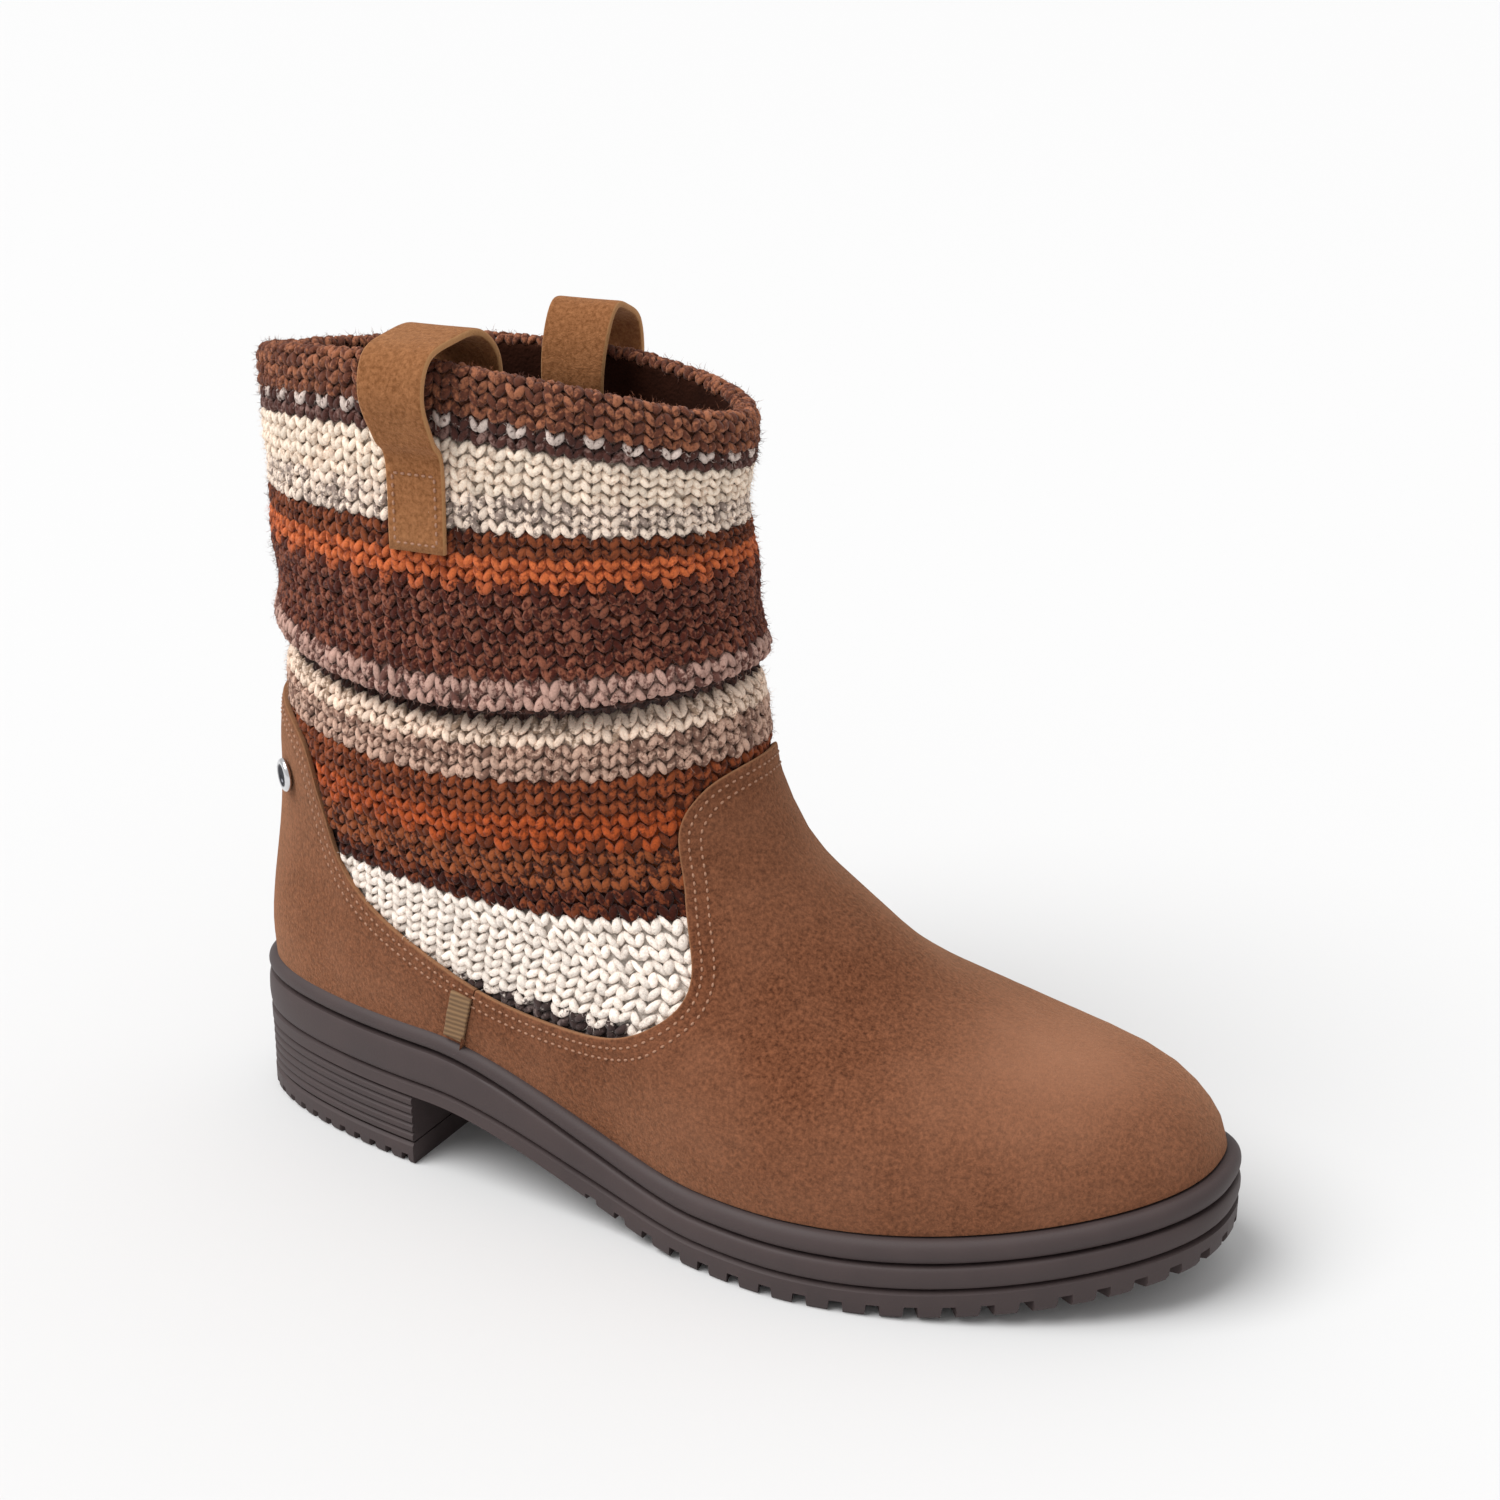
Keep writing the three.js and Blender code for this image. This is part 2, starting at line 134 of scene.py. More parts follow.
def skin(columns, rows, place, closed=True):
    """A grid whose vertices are placed by their column and row, with doubles merged."""
    bm = bmesh.new()
    bmesh.ops.create_grid(bm, x_segments=columns, y_segments=rows, size=0.5)
    flat = np.array([vert.co for vert in bm.verts])
    u = np.rint((flat[:, 0] + 0.5) * columns).astype(int)
    v = np.rint((flat[:, 1] + 0.5) * rows).astype(int)
    column = bm.verts.layers.int.new("column")
    row = bm.verts.layers.int.new("row")
    for i, (vert, point) in enumerate(zip(bm.verts, in_frame(place(u, v)))):
        vert.co = point
        vert[column] = u[i]
        vert[row] = v[i]
    bmesh.ops.remove_doubles(bm, verts=bm.verts, dist=1e-6)
    if closed:
        bmesh.ops.recalc_face_normals(bm, faces=bm.faces)
    return bm


def piece(name, bm, material, slot, *nodes, sharp=None):
    """Turn a bmesh into a finished piece that rides on the boot."""
    for face in bm.faces:
        face.smooth = True
    if sharp:
        for edge in bm.edges:
            edge.smooth = edge.calc_face_angle(0) < math.radians(sharp)
    for layer in bm.verts.layers.int.keys():
        bm.verts.layers.int.remove(bm.verts.layers.int[layer])
    mesh = bpy.data.meshes.new(name)
    bm.to_mesh(mesh)
    bm.free()
    return placed(name, mesh, material, slot, *nodes)


def placed(name, mesh, material, slot, *nodes):
    made = bpy.data.objects.new(name, mesh)
    bpy.context.scene.collection.objects.link(made)
    mesh.materials.append(material)
    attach(made, "root")
    if nodes:
        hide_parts(*nodes)
    return made


def linear(code):
    """sRGB hex colour as linear red, green, blue and alpha."""
    shown = [int(code[i:i + 2], 16) / 255 for i in (1, 3, 5)]
    return [c / 12.92 if c <= 0.04045 else ((c + 0.055) / 1.055) ** 2.4 for c in shown] + [1]


def add_node(tree, kind, settings, inputs):
    """A node with its settings, and its inputs set to a value or linked to another node's output."""
    node = tree.nodes.new(kind)
    for key, value in settings.items():
        setattr(node, key, value)
    for key, value in inputs.items():
        if isinstance(value, bpy.types.NodeSocket):
            tree.links.new(value, node.inputs[key])
        else:
            node.inputs[key].default_value = value
    return node


def new_material(name):
    material = bpy.data.materials.new(name)
    material.use_nodes = True
    tree = material.node_tree
    place = add_node(tree, "ShaderNodeTexCoord", {}, {}).outputs["Object"]
    return material, tree, tree.nodes["Principled BSDF"], place


# Moulded rubber: matt, with a faint bloom in patches and a fine grain from the mould, 0.5 mm drawn
rubber, tree, shader, place = new_material("moulded_rubber")
bloom = add_node(tree, "ShaderNodeTexNoise", {}, {"Vector": place, "Scale": 1 / 0.012, "Detail": 3})
grain = add_node(tree, "ShaderNodeTexNoise", {}, {"Vector": place, "Scale": 1 / 0.0005, "Detail": 2})
shade = add_node(tree, "ShaderNodeMix", {"data_type": "RGBA"}, {
    0: bloom.outputs[0], 6: linear("#382D2D"), 7: linear("#473A39")})
relief = add_node(tree, "ShaderNodeBump", {}, {
    "Height": grain.outputs[0], "Strength": 0.25, "Distance": 0.0002})
rough = add_node(tree, "ShaderNodeMapRange", {}, {"Value": bloom.outputs[0], "To Min": 0.52, "To Max": 0.7})
tree.links.new(shade.outputs[2], shader.inputs["Base Color"])
tree.links.new(rough.outputs[0], shader.inputs["Roughness"])
tree.links.new(relief.outputs[0], shader.inputs["Normal"])
shader.inputs["Specular IOR Level"].default_value = 0.4


def finer(profile):
    """A layer's edge profile with more steps, rounded through the given ones."""
    count = (len(profile) - 1) * PROFILE_STEPS + 1
    at = np.linspace(0, len(profile) - 1, count)
    return [between(np.arange(len(profile)), column, at) for column in zip(*profile)]


def sole_layer(name, profile, angles, notched=None):
    insets, heels, fores = profile
    last = len(insets) - 1

    def place(u, v):
        k = np.clip(v - 1, 0, last)
        row = inset_row(SOLE, insets[k])
        x, y = plan(row, angles[u])
        spine = (v == 0) | (v == last + 2)
        y = np.where(spine, (y + plan(row, -angles[u])[1]) / 2, y)
        z = level(x, heels[k], fores[k])
        if notched is not None:
            cut = notched[u] & (insets[k] < OUTSOLE[0][0]) & ~spine
            z = np.where(cut, np.maximum(z, level(x, heels[0], LUG["depth"])), z)
        return np.stack([x, y, z], axis=1)

    bm = skin(len(angles) - 1, last + 2, place)
    return piece(name, bm, rubber, "rubber", name, sharp=MOULD_EDGE)


def both_sides(half):
    """Angles of a whole ring from those of its outer half, alike on both sides."""
    return np.concatenate([half, (2 * math.pi - half[::-1])[1:]])


even = both_sides(np.linspace(0, math.pi, SOLE_STEPS + 1))
sole_layer("welt", finer(WELT), even)
sole_layer("midsole", finer(MIDSOLE), even)


def lug_columns(x, y, lug, keeps):
    """Places along an outline with the walls of its notches, and which of them lie in a notch."""
    run = np.concatenate([[0], np.cumsum(np.hypot(np.diff(x), np.diff(y)))])
    centres = np.arange(lug["pitch"] / 2, run[-1] - lug["pitch"] / 2, lug["pitch"])
    centres = centres[keeps(np.interp(centres, run, x))]
    walls = [centres + side * lug["width"] / 2 + wall
             for side in (-1, 1) for wall in (-NOTCH_WALL, NOTCH_WALL)]
    stops = np.unique(np.concatenate([np.linspace(0, run[-1], int(run[-1] / NOTCH_STEP)), *walls]))
    near = np.min(np.abs(stops[:, None] - centres[None, :]), axis=1)
    return stops / run[-1], near < lug["width"] / 2, run / run[-1]


fine = np.linspace(0, math.pi, FINE_STEPS + 1)
share, in_notch, run = lug_columns(*plan(SOLE, -fine), LUG, lambda x: x > LUG["start"])
half = np.interp(share, run, fine)
insets, heels, fores = (np.array(column, float) for column in zip(*OUTSOLE))
sole_layer("outsole", (insets, heels, fores), both_sides(half),
           np.concatenate([in_notch, in_notch[::-1][1:]]))

# Heel
# A stacked block under the back of the sole with five moulded ribs round its side, and below it the
# lift, the heel's tread, whose edge is scalloped.
HEEL_LENGTH = 63
HEEL_RIBS = 5
HEEL_BOTTOM = 6.1
HEEL_TOP = 18.6
RIB_PROFILE = [(1.3, 0.0), (0.7, 0.1), (0.35, 0.25), (0.3, 0.5), (0.35, 0.75), (0.8, 0.9)]
RIB_ROOT = 1.3
LIFT = [(5.5, 0.0), (5.0, 0.0), (0.9, 0.0), (0.2, 0.9), (0.2, 5.0), (1.0, 5.7)]
LIFT_NOTCH = {"pitch": 5.8, "width": 2.4, "depth": 2.3}
HEEL_STEPS = 48
BREAST_STEPS = 10
BREAST_CLEAR = 2


def heel_layer(name, profile, shares, notched=None):
    insets, levels = (np.array(column, float) for column in zip(*profile))
    last = len(insets) - 1
    sides = len(shares) - 1

    def place(u, v):
        k = np.clip(v - 1, 0, last)
        row = inset_row(SOLE, insets[k])
        reach = (HEEL_LENGTH - (row["back"] + row["front"]) / 2) / ((row["front"] - row["back"]) / 2)
        corner = np.arccos(reach)
        across = np.clip((u - sides) / BREAST_STEPS, 0, 1)
        angle = corner + shares[np.minimum(u, sides)] * 2 * (math.pi - corner)
        x, y = plan(row, angle)
        mirrored = plan(row, -angle)[1]
        y = y + (mirrored - y) * across
        spine = (v == 0) | (v == last + 2)
        y = np.where(spine, (plan(row, angle)[1] + mirrored) / 2, y)
        z = levels[k]
        if notched is not None:
            cut = notched[np.minimum(u, sides)] & (u <= sides) & (insets[k] < LIFT[0][0]) & ~spine
            z = np.where(cut, np.maximum(z, LIFT_NOTCH["depth"]), z)
        return np.stack([x, y, z], axis=1)

    bm = skin(sides + BREAST_STEPS, last + 2, place)
    piece(name, bm, rubber, "rubber", name, sharp=MOULD_EDGE)


rib = (HEEL_TOP - HEEL_BOTTOM) / HEEL_RIBS
ribs = [(inset, HEEL_BOTTOM + (i + part) * rib) for i in range(HEEL_RIBS) for inset, part in RIB_PROFILE]
heel_layer("heel", ribs + [(RIB_ROOT, HEEL_TOP)], np.linspace(0, 1, HEEL_STEPS + 1))
corner = math.acos((HEEL_LENGTH - SOLE_LENGTH / 2) / (SOLE_LENGTH / 2))
fine = np.linspace(corner, math.pi, FINE_STEPS // 2 + 1)
share, in_notch, run = lug_columns(*plan(SOLE, -fine), LIFT_NOTCH,
                                   lambda x: x < HEEL_LENGTH - BREAST_CLEAR)
half = np.interp(share, run, np.linspace(0, 0.5, len(run)))
heel_layer("heel_lift", LIFT, np.concatenate([half, (1 - half[::-1])[1:]]),
           np.concatenate([in_notch, in_notch[::-1][1:]]))

# Insole
# A thin foam bed faced with brushed brown cloth. It is cut to the inside of the upper and glued down
# on the welt.
INSOLE_INSET = 9
INSOLE_GAP = 0.35
INSOLE = [(1.2, 0.0), (0.2, 0.5), (0.0, 1.5), (0.3, 2.5), (1.5, 3.0), (4.0, 3.0)]

# Brushed cloth: a dull pile whose shade shifts over a few millimetres, with 0.8 mm tufts
cloth, tree, shader, place = new_material("brushed_cloth")
tufts = add_node(tree, "ShaderNodeTexNoise", {}, {"Vector": place, "Scale": 1 / 0.0008, "Detail": 3})
drift = add_node(tree, "ShaderNodeTexNoise", {}, {"Vector": place, "Scale": 1 / 0.007, "Detail": 2})
shade = add_node(tree, "ShaderNodeMix", {"data_type": "RGBA"}, {
    0: drift.outputs[0], 6: linear("#200D06"), 7: linear("#3A1D12")})
relief = add_node(tree, "ShaderNodeBump", {}, {
    "Height": tufts.outputs[0], "Strength": 0.8, "Distance": 0.0005})
tree.links.new(shade.outputs[2], shader.inputs["Base Color"])
tree.links.new(relief.outputs[0], shader.inputs["Normal"])
shader.inputs["Roughness"].default_value = 0.95
shader.inputs["Specular IOR Level"].default_value = 0.1

bed = [(INSOLE_INSET + inset, FOOT_BED[0] + INSOLE_GAP + up, FOOT_BED[1] + INSOLE_GAP + up)
       for inset, up in INSOLE]
insole = sole_layer("insole", [np.array(column) for column in zip(*bed)], even)
insole.data.materials[0] = cloth

# Upper body
# The sewn shell that gives the boot its shape over the last, in brushed brown cloth: the lining. Knit
# and suede are sewn on over it. Rows are sections from the welt to the collar.
COLUMNS = ("back", "z_back", "front", "z_front", "heel", "waist", "ball", "toe", "round", "skew",
           "follow", "lift", "lean", "wall")
SECTIONS = [
    (5.0, 37.6, 255.5, 30.2, 36.0, 33.0, 46.5, 43.0, 2.40, 1.00, 1.00, 0, 0, 2.4),
    (4.8, 48.0, 252.5, 37.5, 37.0, 35.0, 47.5, 43.5, 2.40, 1.00, 0.90, 0, 0, 2.4),
    (6.0, 58.0, 243.5, 45.0, 37.0, 36.5, 46.5, 42.0, 2.35, 0.95, 0.75, 0, 0, 2.4),
    (7.8, 68.0, 228.0, 48.7, 36.6, 37.5, 43.8, 37.5, 2.30, 0.85, 0.55, 0, 0, 2.4),
    (9.4, 77.0, 210.0, 52.1, 36.5, 38.0, 40.5, 33.0, 2.20, 0.70, 0.35, 0, 0, 2.4),
    (10.6, 86.0, 191.0, 58.0, 36.8, 38.5, 40.0, 32.5, 2.10, 0.50, 0.20, 0, 0, 2.4),
    (11.5, 94.0, 173.5, 69.0, 37.5, 38.5, 39.0, 32.5, 2.05, 0.35, 0.10, 0, 0, 2.4),
    (12.2, 102.0, 155.0, 83.0, 38.0, 39.0, 38.5, 33.0, 2.00, 0.20, 0, 0, 0, 2.4),
    (13.6, 110.0, 143.5, 101.0, 38.5, 39.5, 39.0, 36.0, 2.00, 0.10, 0, 0, 0, 2.4),
    (15.4, 120.5, 140.4, 116.5, 39.0, 39.5, 39.5, 38.5, 2.00, 0, 0, -3, 0, 2.4),
    (16.0, 129.5, 138.4, 128.5, 38.0, 38.2, 38.2, 38.0, 2.00, 0, 0, -6.5, 0, 2.4),
    (14.6, 137.0, 139.0, 136.5, 40.0, 40.2, 40.2, 40.0, 2.00, 0, 0, -5.5, 0, 2.6),
    (13.6, 154.0, 136.2, 154.0, 40.0, 40.0, 40.0, 40.0, 2.00, 0, 0, -2.5, 1.0, 2.8),
    (13.0, 173.0, 134.8, 171.0, 40.0, 40.0, 40.0, 40.0, 2.00, 0, 0, 2, 2.5, 3.0),
    (12.4, 187.5, 136.6, 182.0, 40.0, 40.0, 40.0, 40.0, 2.00, 0, 0, 5, 3.8, 4.4),
    (12.4, 195.5, 136.6, 189.5, 39.8, 39.8, 39.8, 39.8, 2.00, 0, 0, 6.3, 4.4, 4.4),
]
TOP = len(SECTIONS) - 1
TURN = 2 * math.pi


def section(column, t):
    values = [row[COLUMNS.index(column)] for row in SECTIONS]
    return between(np.arange(TOP + 1), values, t)


def face(t, angle):
    """Outer face of the upper: t counts sections up from the welt."""
    row = {column: section(column, t) for column in COLUMNS[:-1]}
    x, y = plan(row, angle)
    u = (1 + np.cos(angle)) / 2
    ends = [level(row[end], *FOOT_BED) for end in ("back", "front")]
    rise = level(x, *FOOT_BED) - (ends[0] + (ends[1] - ends[0]) * u)
    z = row["z_back"] + (row["z_front"] - row["z_back"]) * u + row["follow"] * rise
    z = z + row["lift"] * np.sin(angle) ** 2 - row["lean"] * np.sin(angle)
    return np.stack([x, y, z], axis=1)


def unit(vectors):
    return vectors / np.linalg.norm(vectors, axis=1, keepdims=True)


def outward(t, angle, step=0.03):
    up = face(np.minimum(t + step, TOP), angle) - face(np.maximum(t - step, 0), angle)
    around = face(t, angle + step) - face(t, angle - step)
    return unit(np.cross(around, up))


# The shaft has slipped down over the ankle into one deep fold with a full roll above it. Each soft
# trough or ridge has its level on the shaft's side, its reach up and down, and how far it stands out.
SLOUCH = [
    {"level": 123.6, "reach": 2.4, "out": -4.2},
    {"level": 128.6, "reach": 3.4, "out": 2.0},
    {"level": 117.0, "reach": 3.5, "out": 0.5},
    {"level": 141.0, "reach": 5.0, "out": -0.6},
    {"level": 150.0, "reach": 6.0, "out": 0.6},
    {"level": 170.0, "reach": 7.0, "out": -0.5},
]
# Each fold sways up and down round the leg, and is deeper on one side
SWAY = {"reach": 1.5, "phase": 1.7}
UNEVEN = {"share": 0.25, "phase": 0.9}
SLOUCH_FROM = 8.5
SIDE_AT = np.linspace(0, TOP, 601)
SIDE_LEVELS = (section("z_back", SIDE_AT) + section("z_front", SIDE_AT)) / 2 + section("lift", SIDE_AT)


def slouch(side_level, angle):
    """How far the folds of the shaft move its face out, a little unevenly round the leg."""
    out = np.zeros_like(side_level)
    for i, fold in enumerate(SLOUCH):
        sway = SWAY["reach"] * np.sin(2 * angle + SWAY["phase"] * i)
        deep = np.cos(angle - 0.75 * TURN + UNEVEN["phase"] * i)
        weight = 1 - UNEVEN["share"] + UNEVEN["share"] * deep
        out += fold["out"] * weight * np.exp(-((side_level - fold["level"] - sway) / fold["reach"]) ** 2)
    return out


def shaft_level(t):
    return np.interp(t, SIDE_AT, SIDE_LEVELS)


LINING_DEPTH = 1.7
LINING_TOP = 14.85
SHELL_ROUND = 144
SHELL_ROWS = 96
shell_rows = np.linspace(0, LINING_TOP, SHELL_ROWS + 1)
shell_path = np.concatenate([shell_rows, shell_rows[::-1]])


def shell_place(u, v):
    v = v % len(shell_path)
    t = shell_path[v]
    angle = u / SHELL_ROUND * TURN
    inside = v >= len(shell_rows)
    out = np.where(inside, -section("wall", t), -LINING_DEPTH)
    out = out + np.where(t > SLOUCH_FROM, slouch(shaft_level(t), angle), 0)
    return face(t, angle) + outward(t, angle) * out[:, None]


piece("upper_lining", skin(SHELL_ROUND, len(shell_path), shell_place), cloth, "knit", "upper")

# Suede
# Vamp and heel counter are cut from brown cow suede 1.4 mm thick, with raw edges that show the paler
# core, and are sewn to the knit by two rows of tan thread.
SUEDE_EDGE = [
    (8, 113.5), (21, 112), (33, 105), (38, 90), (42, 77.5), (50, 69.3), (63, 62.8), (88, 54.5),
    (112, 52.2), (128, 54), (138.5, 59.2), (141.2, 67), (135, 83), (131.4, 97), (134.5, 106), (141, 111),
    (148, 112.5),
]
SEAM_X = 85
SEAM_Z = 52
SEAM_LEAN = 0.35
SEAM_GAP = 0.12
SEAM_BETWEEN = (60.0, 100.0)
SUEDE_GAP = 0.5
SUEDE_THICKNESS = 1.4
SUEDE_TOP = SUEDE_GAP + SUEDE_THICKNESS
HIGHEST_SECTION = 10.0
EDGE_POINTS = 400
EDGE_CLEAR = 0.1
EDGE_STEP = 1.6
FILL_ROWS = 22
FOOT_DRAW = 0.35
MARCH = {"step": 0.7, "lowest": 0.05}
# Bands inside the cut edge, in mm from it, and how far the suede stands up or sinks there
EDGE_BANDS = [(0.0, -0.2), (0.5, 0.0), (1.5, 0.06), (2.4, -0.14), (3.3, 0.06), (4.3, 0.06), (5.2, -0.14),
              (6.1, 0.04), (7.5, 0.0)]
THREAD_ROWS = (2.4, 5.2)
# Painted highlight: the top of the toe painted paler where light falls on it, with its middle, reach and
# strength
TOE_PAINTED_HIGHLIGHT = {"middle": (221, -6, 51), "reach": 25, "share": 0.7}
THREAD = {"pitch": 2.0, "length": 1.15, "width": 0.7, "sunk": 0.05}


def solve(low, high, above, rounds=40):
    """Halve a span until it holds the place where above turns true."""
    for _ in range(rounds):
        middle = (low + high) / 2
        over = above(middle)
        low = np.where(over, low, middle)
        high = np.where(over, middle, high)
    return (low + high) / 2


def angle_at(t, x, side):
    """Angle of the point of a section that lies at x, on the inner (1) or outer (-1) side."""
    back = section("back", t)
    front = section("front", t)
    angle = np.arccos(np.clip((2 * x - back - front) / (front - back), -1, 1))
    return angle if side > 0 else TURN - angle


def edge_on(side):
    """The suede's edge on one side as section and angle, from the back seam line to the front one."""
    knots = np.arange(len(SUEDE_EDGE))
    at = np.linspace(0, knots[-1], EDGE_POINTS)
    x = between(knots, [point[0] for point in SUEDE_EDGE], at)
    z = between(knots, [point[1] for point in SUEDE_EDGE], at)
    t = solve(np.zeros_like(x), np.full_like(x, HIGHEST_SECTION),
              lambda m: face(m, angle_at(m, x, side))[:, 2] > z)
    clear = (x > section("back", t) + EDGE_CLEAR) & (x < section("front", t) - EDGE_CLEAR)
    angle = angle_at(t, x, side)[clear]
    t = t[clear]
    ends = (math.pi, 0.0 if side > 0 else TURN)
    return np.concatenate([[t[0]], t, [t[-1]]]), np.concatenate([ends[:1], angle, ends[1:]])


def seam_at(z):
    return SEAM_X + SEAM_LEAN * (z - SEAM_Z)


def march(t, angle, distance, up=0.02, turn=0.01):
    """Move points of a curve on the upper sideways, down into the suede, by a distance in mm."""
    steps = max(1, int(math.ceil(distance / MARCH["step"])))
    for _ in range(steps):
        points = face(t, angle)
        along = unit(np.gradient(points, axis=0))
        normal = outward(t, angle)
        down = np.cross(along, normal)
        by_t = (face(t + up, angle) - points) / up
        by_angle = (face(t, angle + turn) - points) / turn
        a = np.sum(by_t * by_t, axis=1)
        b = np.sum(by_t * by_angle, axis=1)
        c = np.sum(by_angle * by_angle, axis=1)
        p = np.sum(down * by_t, axis=1)
        q = np.sum(down * by_angle, axis=1)
        scale = distance / steps / (a * c - b * b)
        t = np.maximum(t + (p * c - q * b) * scale, MARCH["lowest"])
        angle = angle + (q * a - p * b) * scale
    return t, angle


def evenly(t, angle, spacing):
    """The same curve with points at an even spacing in mm."""
    points = face(t, angle)
    run = np.concatenate([[0], np.cumsum(np.linalg.norm(np.diff(points, axis=0), axis=1))])
    stops = np.linspace(0, run[-1], max(2, int(run[-1] / spacing)))
    return np.interp(stops, run, t), np.interp(stops, run, angle)


def seam_angle(t, side, gap):
    """Angle of the side seam on each section."""
    x = solve(*(np.full_like(t, end) for end in SEAM_BETWEEN),
              lambda m: m > seam_at(face(t, angle_at(t, m, side))[:, 2]) + gap)
    return angle_at(t, x, side)


inner_t, inner_angle = edge_on(1)
outer_t, outer_angle = edge_on(-1)


def suede_curve(front, gap):
    """Cut edge of the vamp or the counter from one side seam to the other, with the seams' feet."""
    foot = np.zeros(1)
    parts = []
    for t, angle in ((outer_t, outer_angle), (inner_t, inner_angle)):
        points = face(t, angle)
        ahead = points[:, 0] - seam_at(points[:, 2]) - gap
        i = int(np.argmax(ahead > 0))
        w = ahead[i - 1] / (ahead[i - 1] - ahead[i])
        kept = slice(i, None) if front else slice(0, i)
        at = 0 if front else i
        parts.append([np.insert(values[kept], at, values[i - 1] + (values[i] - values[i - 1]) * w)
                      for values in (t, angle)])
    (to, ao), (ti, ai) = parts
    if front:
        t = np.concatenate([to, ti[::-1]])
        angle = np.concatenate([ao, ai[::-1] + TURN])
        feet = (seam_angle(foot, -1, gap)[0], seam_angle(foot, 1, gap)[0] + TURN)
    else:
        t = np.concatenate([ti[::-1], to])
        angle = np.concatenate([ai[::-1], ao])
        feet = (seam_angle(foot, 1, gap)[0], seam_angle(foot, -1, gap)[0])
    return *evenly(t, angle, EDGE_STEP), feet


# Suede: napped cow split, brown with short darker and paler strokes of the nap some 1 mm long,
# broad patches where it was brushed the other way, a painted highlight where light falls on the top of the
# toe, a pale sheen where it is seen along the nap, and a paler raw core along each cut edge
def suede_material(name, dark, middle, pale, core):
    material, tree, shader, place = new_material(name)
    brushed = add_node(tree, "ShaderNodeTexNoise", {}, {
        "Vector": place, "Scale": 1 / 0.04, "Detail": 3, "Roughness": 0.55})
    nap = add_node(tree, "ShaderNodeTexNoise", {}, {
        "Vector": place, "Scale": 1 / 0.001, "Detail": 4, "Roughness": 0.7})
    fibre = add_node(tree, "ShaderNodeTexNoise", {}, {
        "Vector": place, "Scale": 1 / 0.0005, "Detail": 2, "Roughness": 0.7})
    wide = add_node(tree, "ShaderNodeMapRange", {}, {
        "Value": brushed.outputs[0], "From Min": 0.38, "From Max": 0.72, "To Max": 0.3})
    stroke = add_node(tree, "ShaderNodeMapRange", {}, {
        "Value": nap.outputs[0], "From Min": 0.34, "From Max": 0.66})
    base = add_node(tree, "ShaderNodeMix", {"data_type": "RGBA"}, {
        0: stroke.outputs[0], 6: linear(dark), 7: linear(middle)})
    # Painted highlight on the top of the toe, added to the brushed patches
    painted_toe_highlight = add_node(tree, "ShaderNodeAttribute", {"attribute_name": "painted_toe_highlight"}, {})
    paler = add_node(tree, "ShaderNodeMath", {"use_clamp": True}, {
        0: wide.outputs[0], 1: painted_toe_highlight.outputs["Fac"]})
    brushed_and_lit = add_node(tree, "ShaderNodeMix", {"data_type": "RGBA"}, {
        0: paler.outputs[0], 6: base.outputs[2], 7: linear(pale)})
    cut = add_node(tree, "ShaderNodeAttribute", {"attribute_name": "cut"}, {})
    raw = add_node(tree, "ShaderNodeMix", {"data_type": "RGBA"}, {
        0: cut.outputs["Fac"], 6: brushed_and_lit.outputs[2], 7: linear(core)})
    height = add_node(tree, "ShaderNodeMath", {"operation": "MULTIPLY_ADD"}, {
        0: nap.outputs[0], 1: 1.5, 2: fibre.outputs[0]})
    relief = add_node(tree, "ShaderNodeBump", {}, {
        "Height": height.outputs[0], "Strength": 0.5, "Distance": 0.0004})
    tree.links.new(raw.outputs[2], shader.inputs["Base Color"])
    tree.links.new(relief.outputs[0], shader.inputs["Normal"])
    shader.inputs["Roughness"].default_value = 0.95
    shader.inputs["Specular IOR Level"].default_value = 0.1
    shader.inputs["Sheen Weight"].default_value = 0.6
    shader.inputs["Sheen Roughness"].default_value = 0.4
    shader.inputs["Sheen Tint"].default_value = linear("#CC9E7C")
    return material


suede = suede_material("napped_suede", "#4C2A1A", "#845238", "#A07056", "#946A4C")


def round_bead(around, along):
    """Points of a ball with its poles on z, and its faces, to be drawn out into a stitch."""
    bm = bmesh.new()
    bmesh.ops.create_uvsphere(bm, u_segments=around, v_segments=along, radius=1)
    points = np.array([vert.co for vert in bm.verts])
    faces = [[vert.index for vert in part.verts] for part in bm.faces]
    bm.free()
    return points, faces


def joined(name, points, faces, **layers):
    """One mesh of many like bits: points by bit and corner, a bit's faces, and colours of each point."""
    mesh = bpy.data.meshes.new(name)
    count = points.shape[1]
    every = [[i + k * count for i in part] for k in range(len(points)) for part in faces]
    mesh.from_pydata(in_frame(points.reshape(-1, 3)).tolist(), [], every)
    for layer, colours in layers.items():
        painted = mesh.color_attributes.new(layer, "FLOAT_COLOR", "POINT")
        painted.data.foreach_set("color", colours.reshape(-1).astype(np.float32))
    mesh.shade_smooth()
    return mesh


def thread_bits(name, centres, along, normals):
    """Short stitches of thread, one slim bead for each centre, joined in one mesh."""
    bead, faces = round_bead(6, 4)
    across = np.cross(normals, along)
    points = (centres[:, None, :] + bead[None, :, 2:3] * along[:, None, :] * THREAD["length"] / 2
              + bead[None, :, 0:1] * across[:, None, :] * THREAD["width"] / 2
              + bead[None, :, 1:2] * normals[:, None, :] * THREAD["width"] / 2)
    return joined(name, points, faces)


# Waxed thread: pale tan, slightly glossy, with the 0.4 mm twist of its plies
thread, tree, shader, place = new_material("waxed_thread")
twist = add_node(tree, "ShaderNodeTexNoise", {}, {"Vector": place, "Scale": 1 / 0.0004, "Detail": 1})
shade = add_node(tree, "ShaderNodeMix", {"data_type": "RGBA"}, {
    0: twist.outputs[0], 6: linear("#8C5F48"), 7: linear("#B0866A")})
tree.links.new(shade.outputs[2], shader.inputs["Base Color"])
shader.inputs["Roughness"].default_value = 0.6


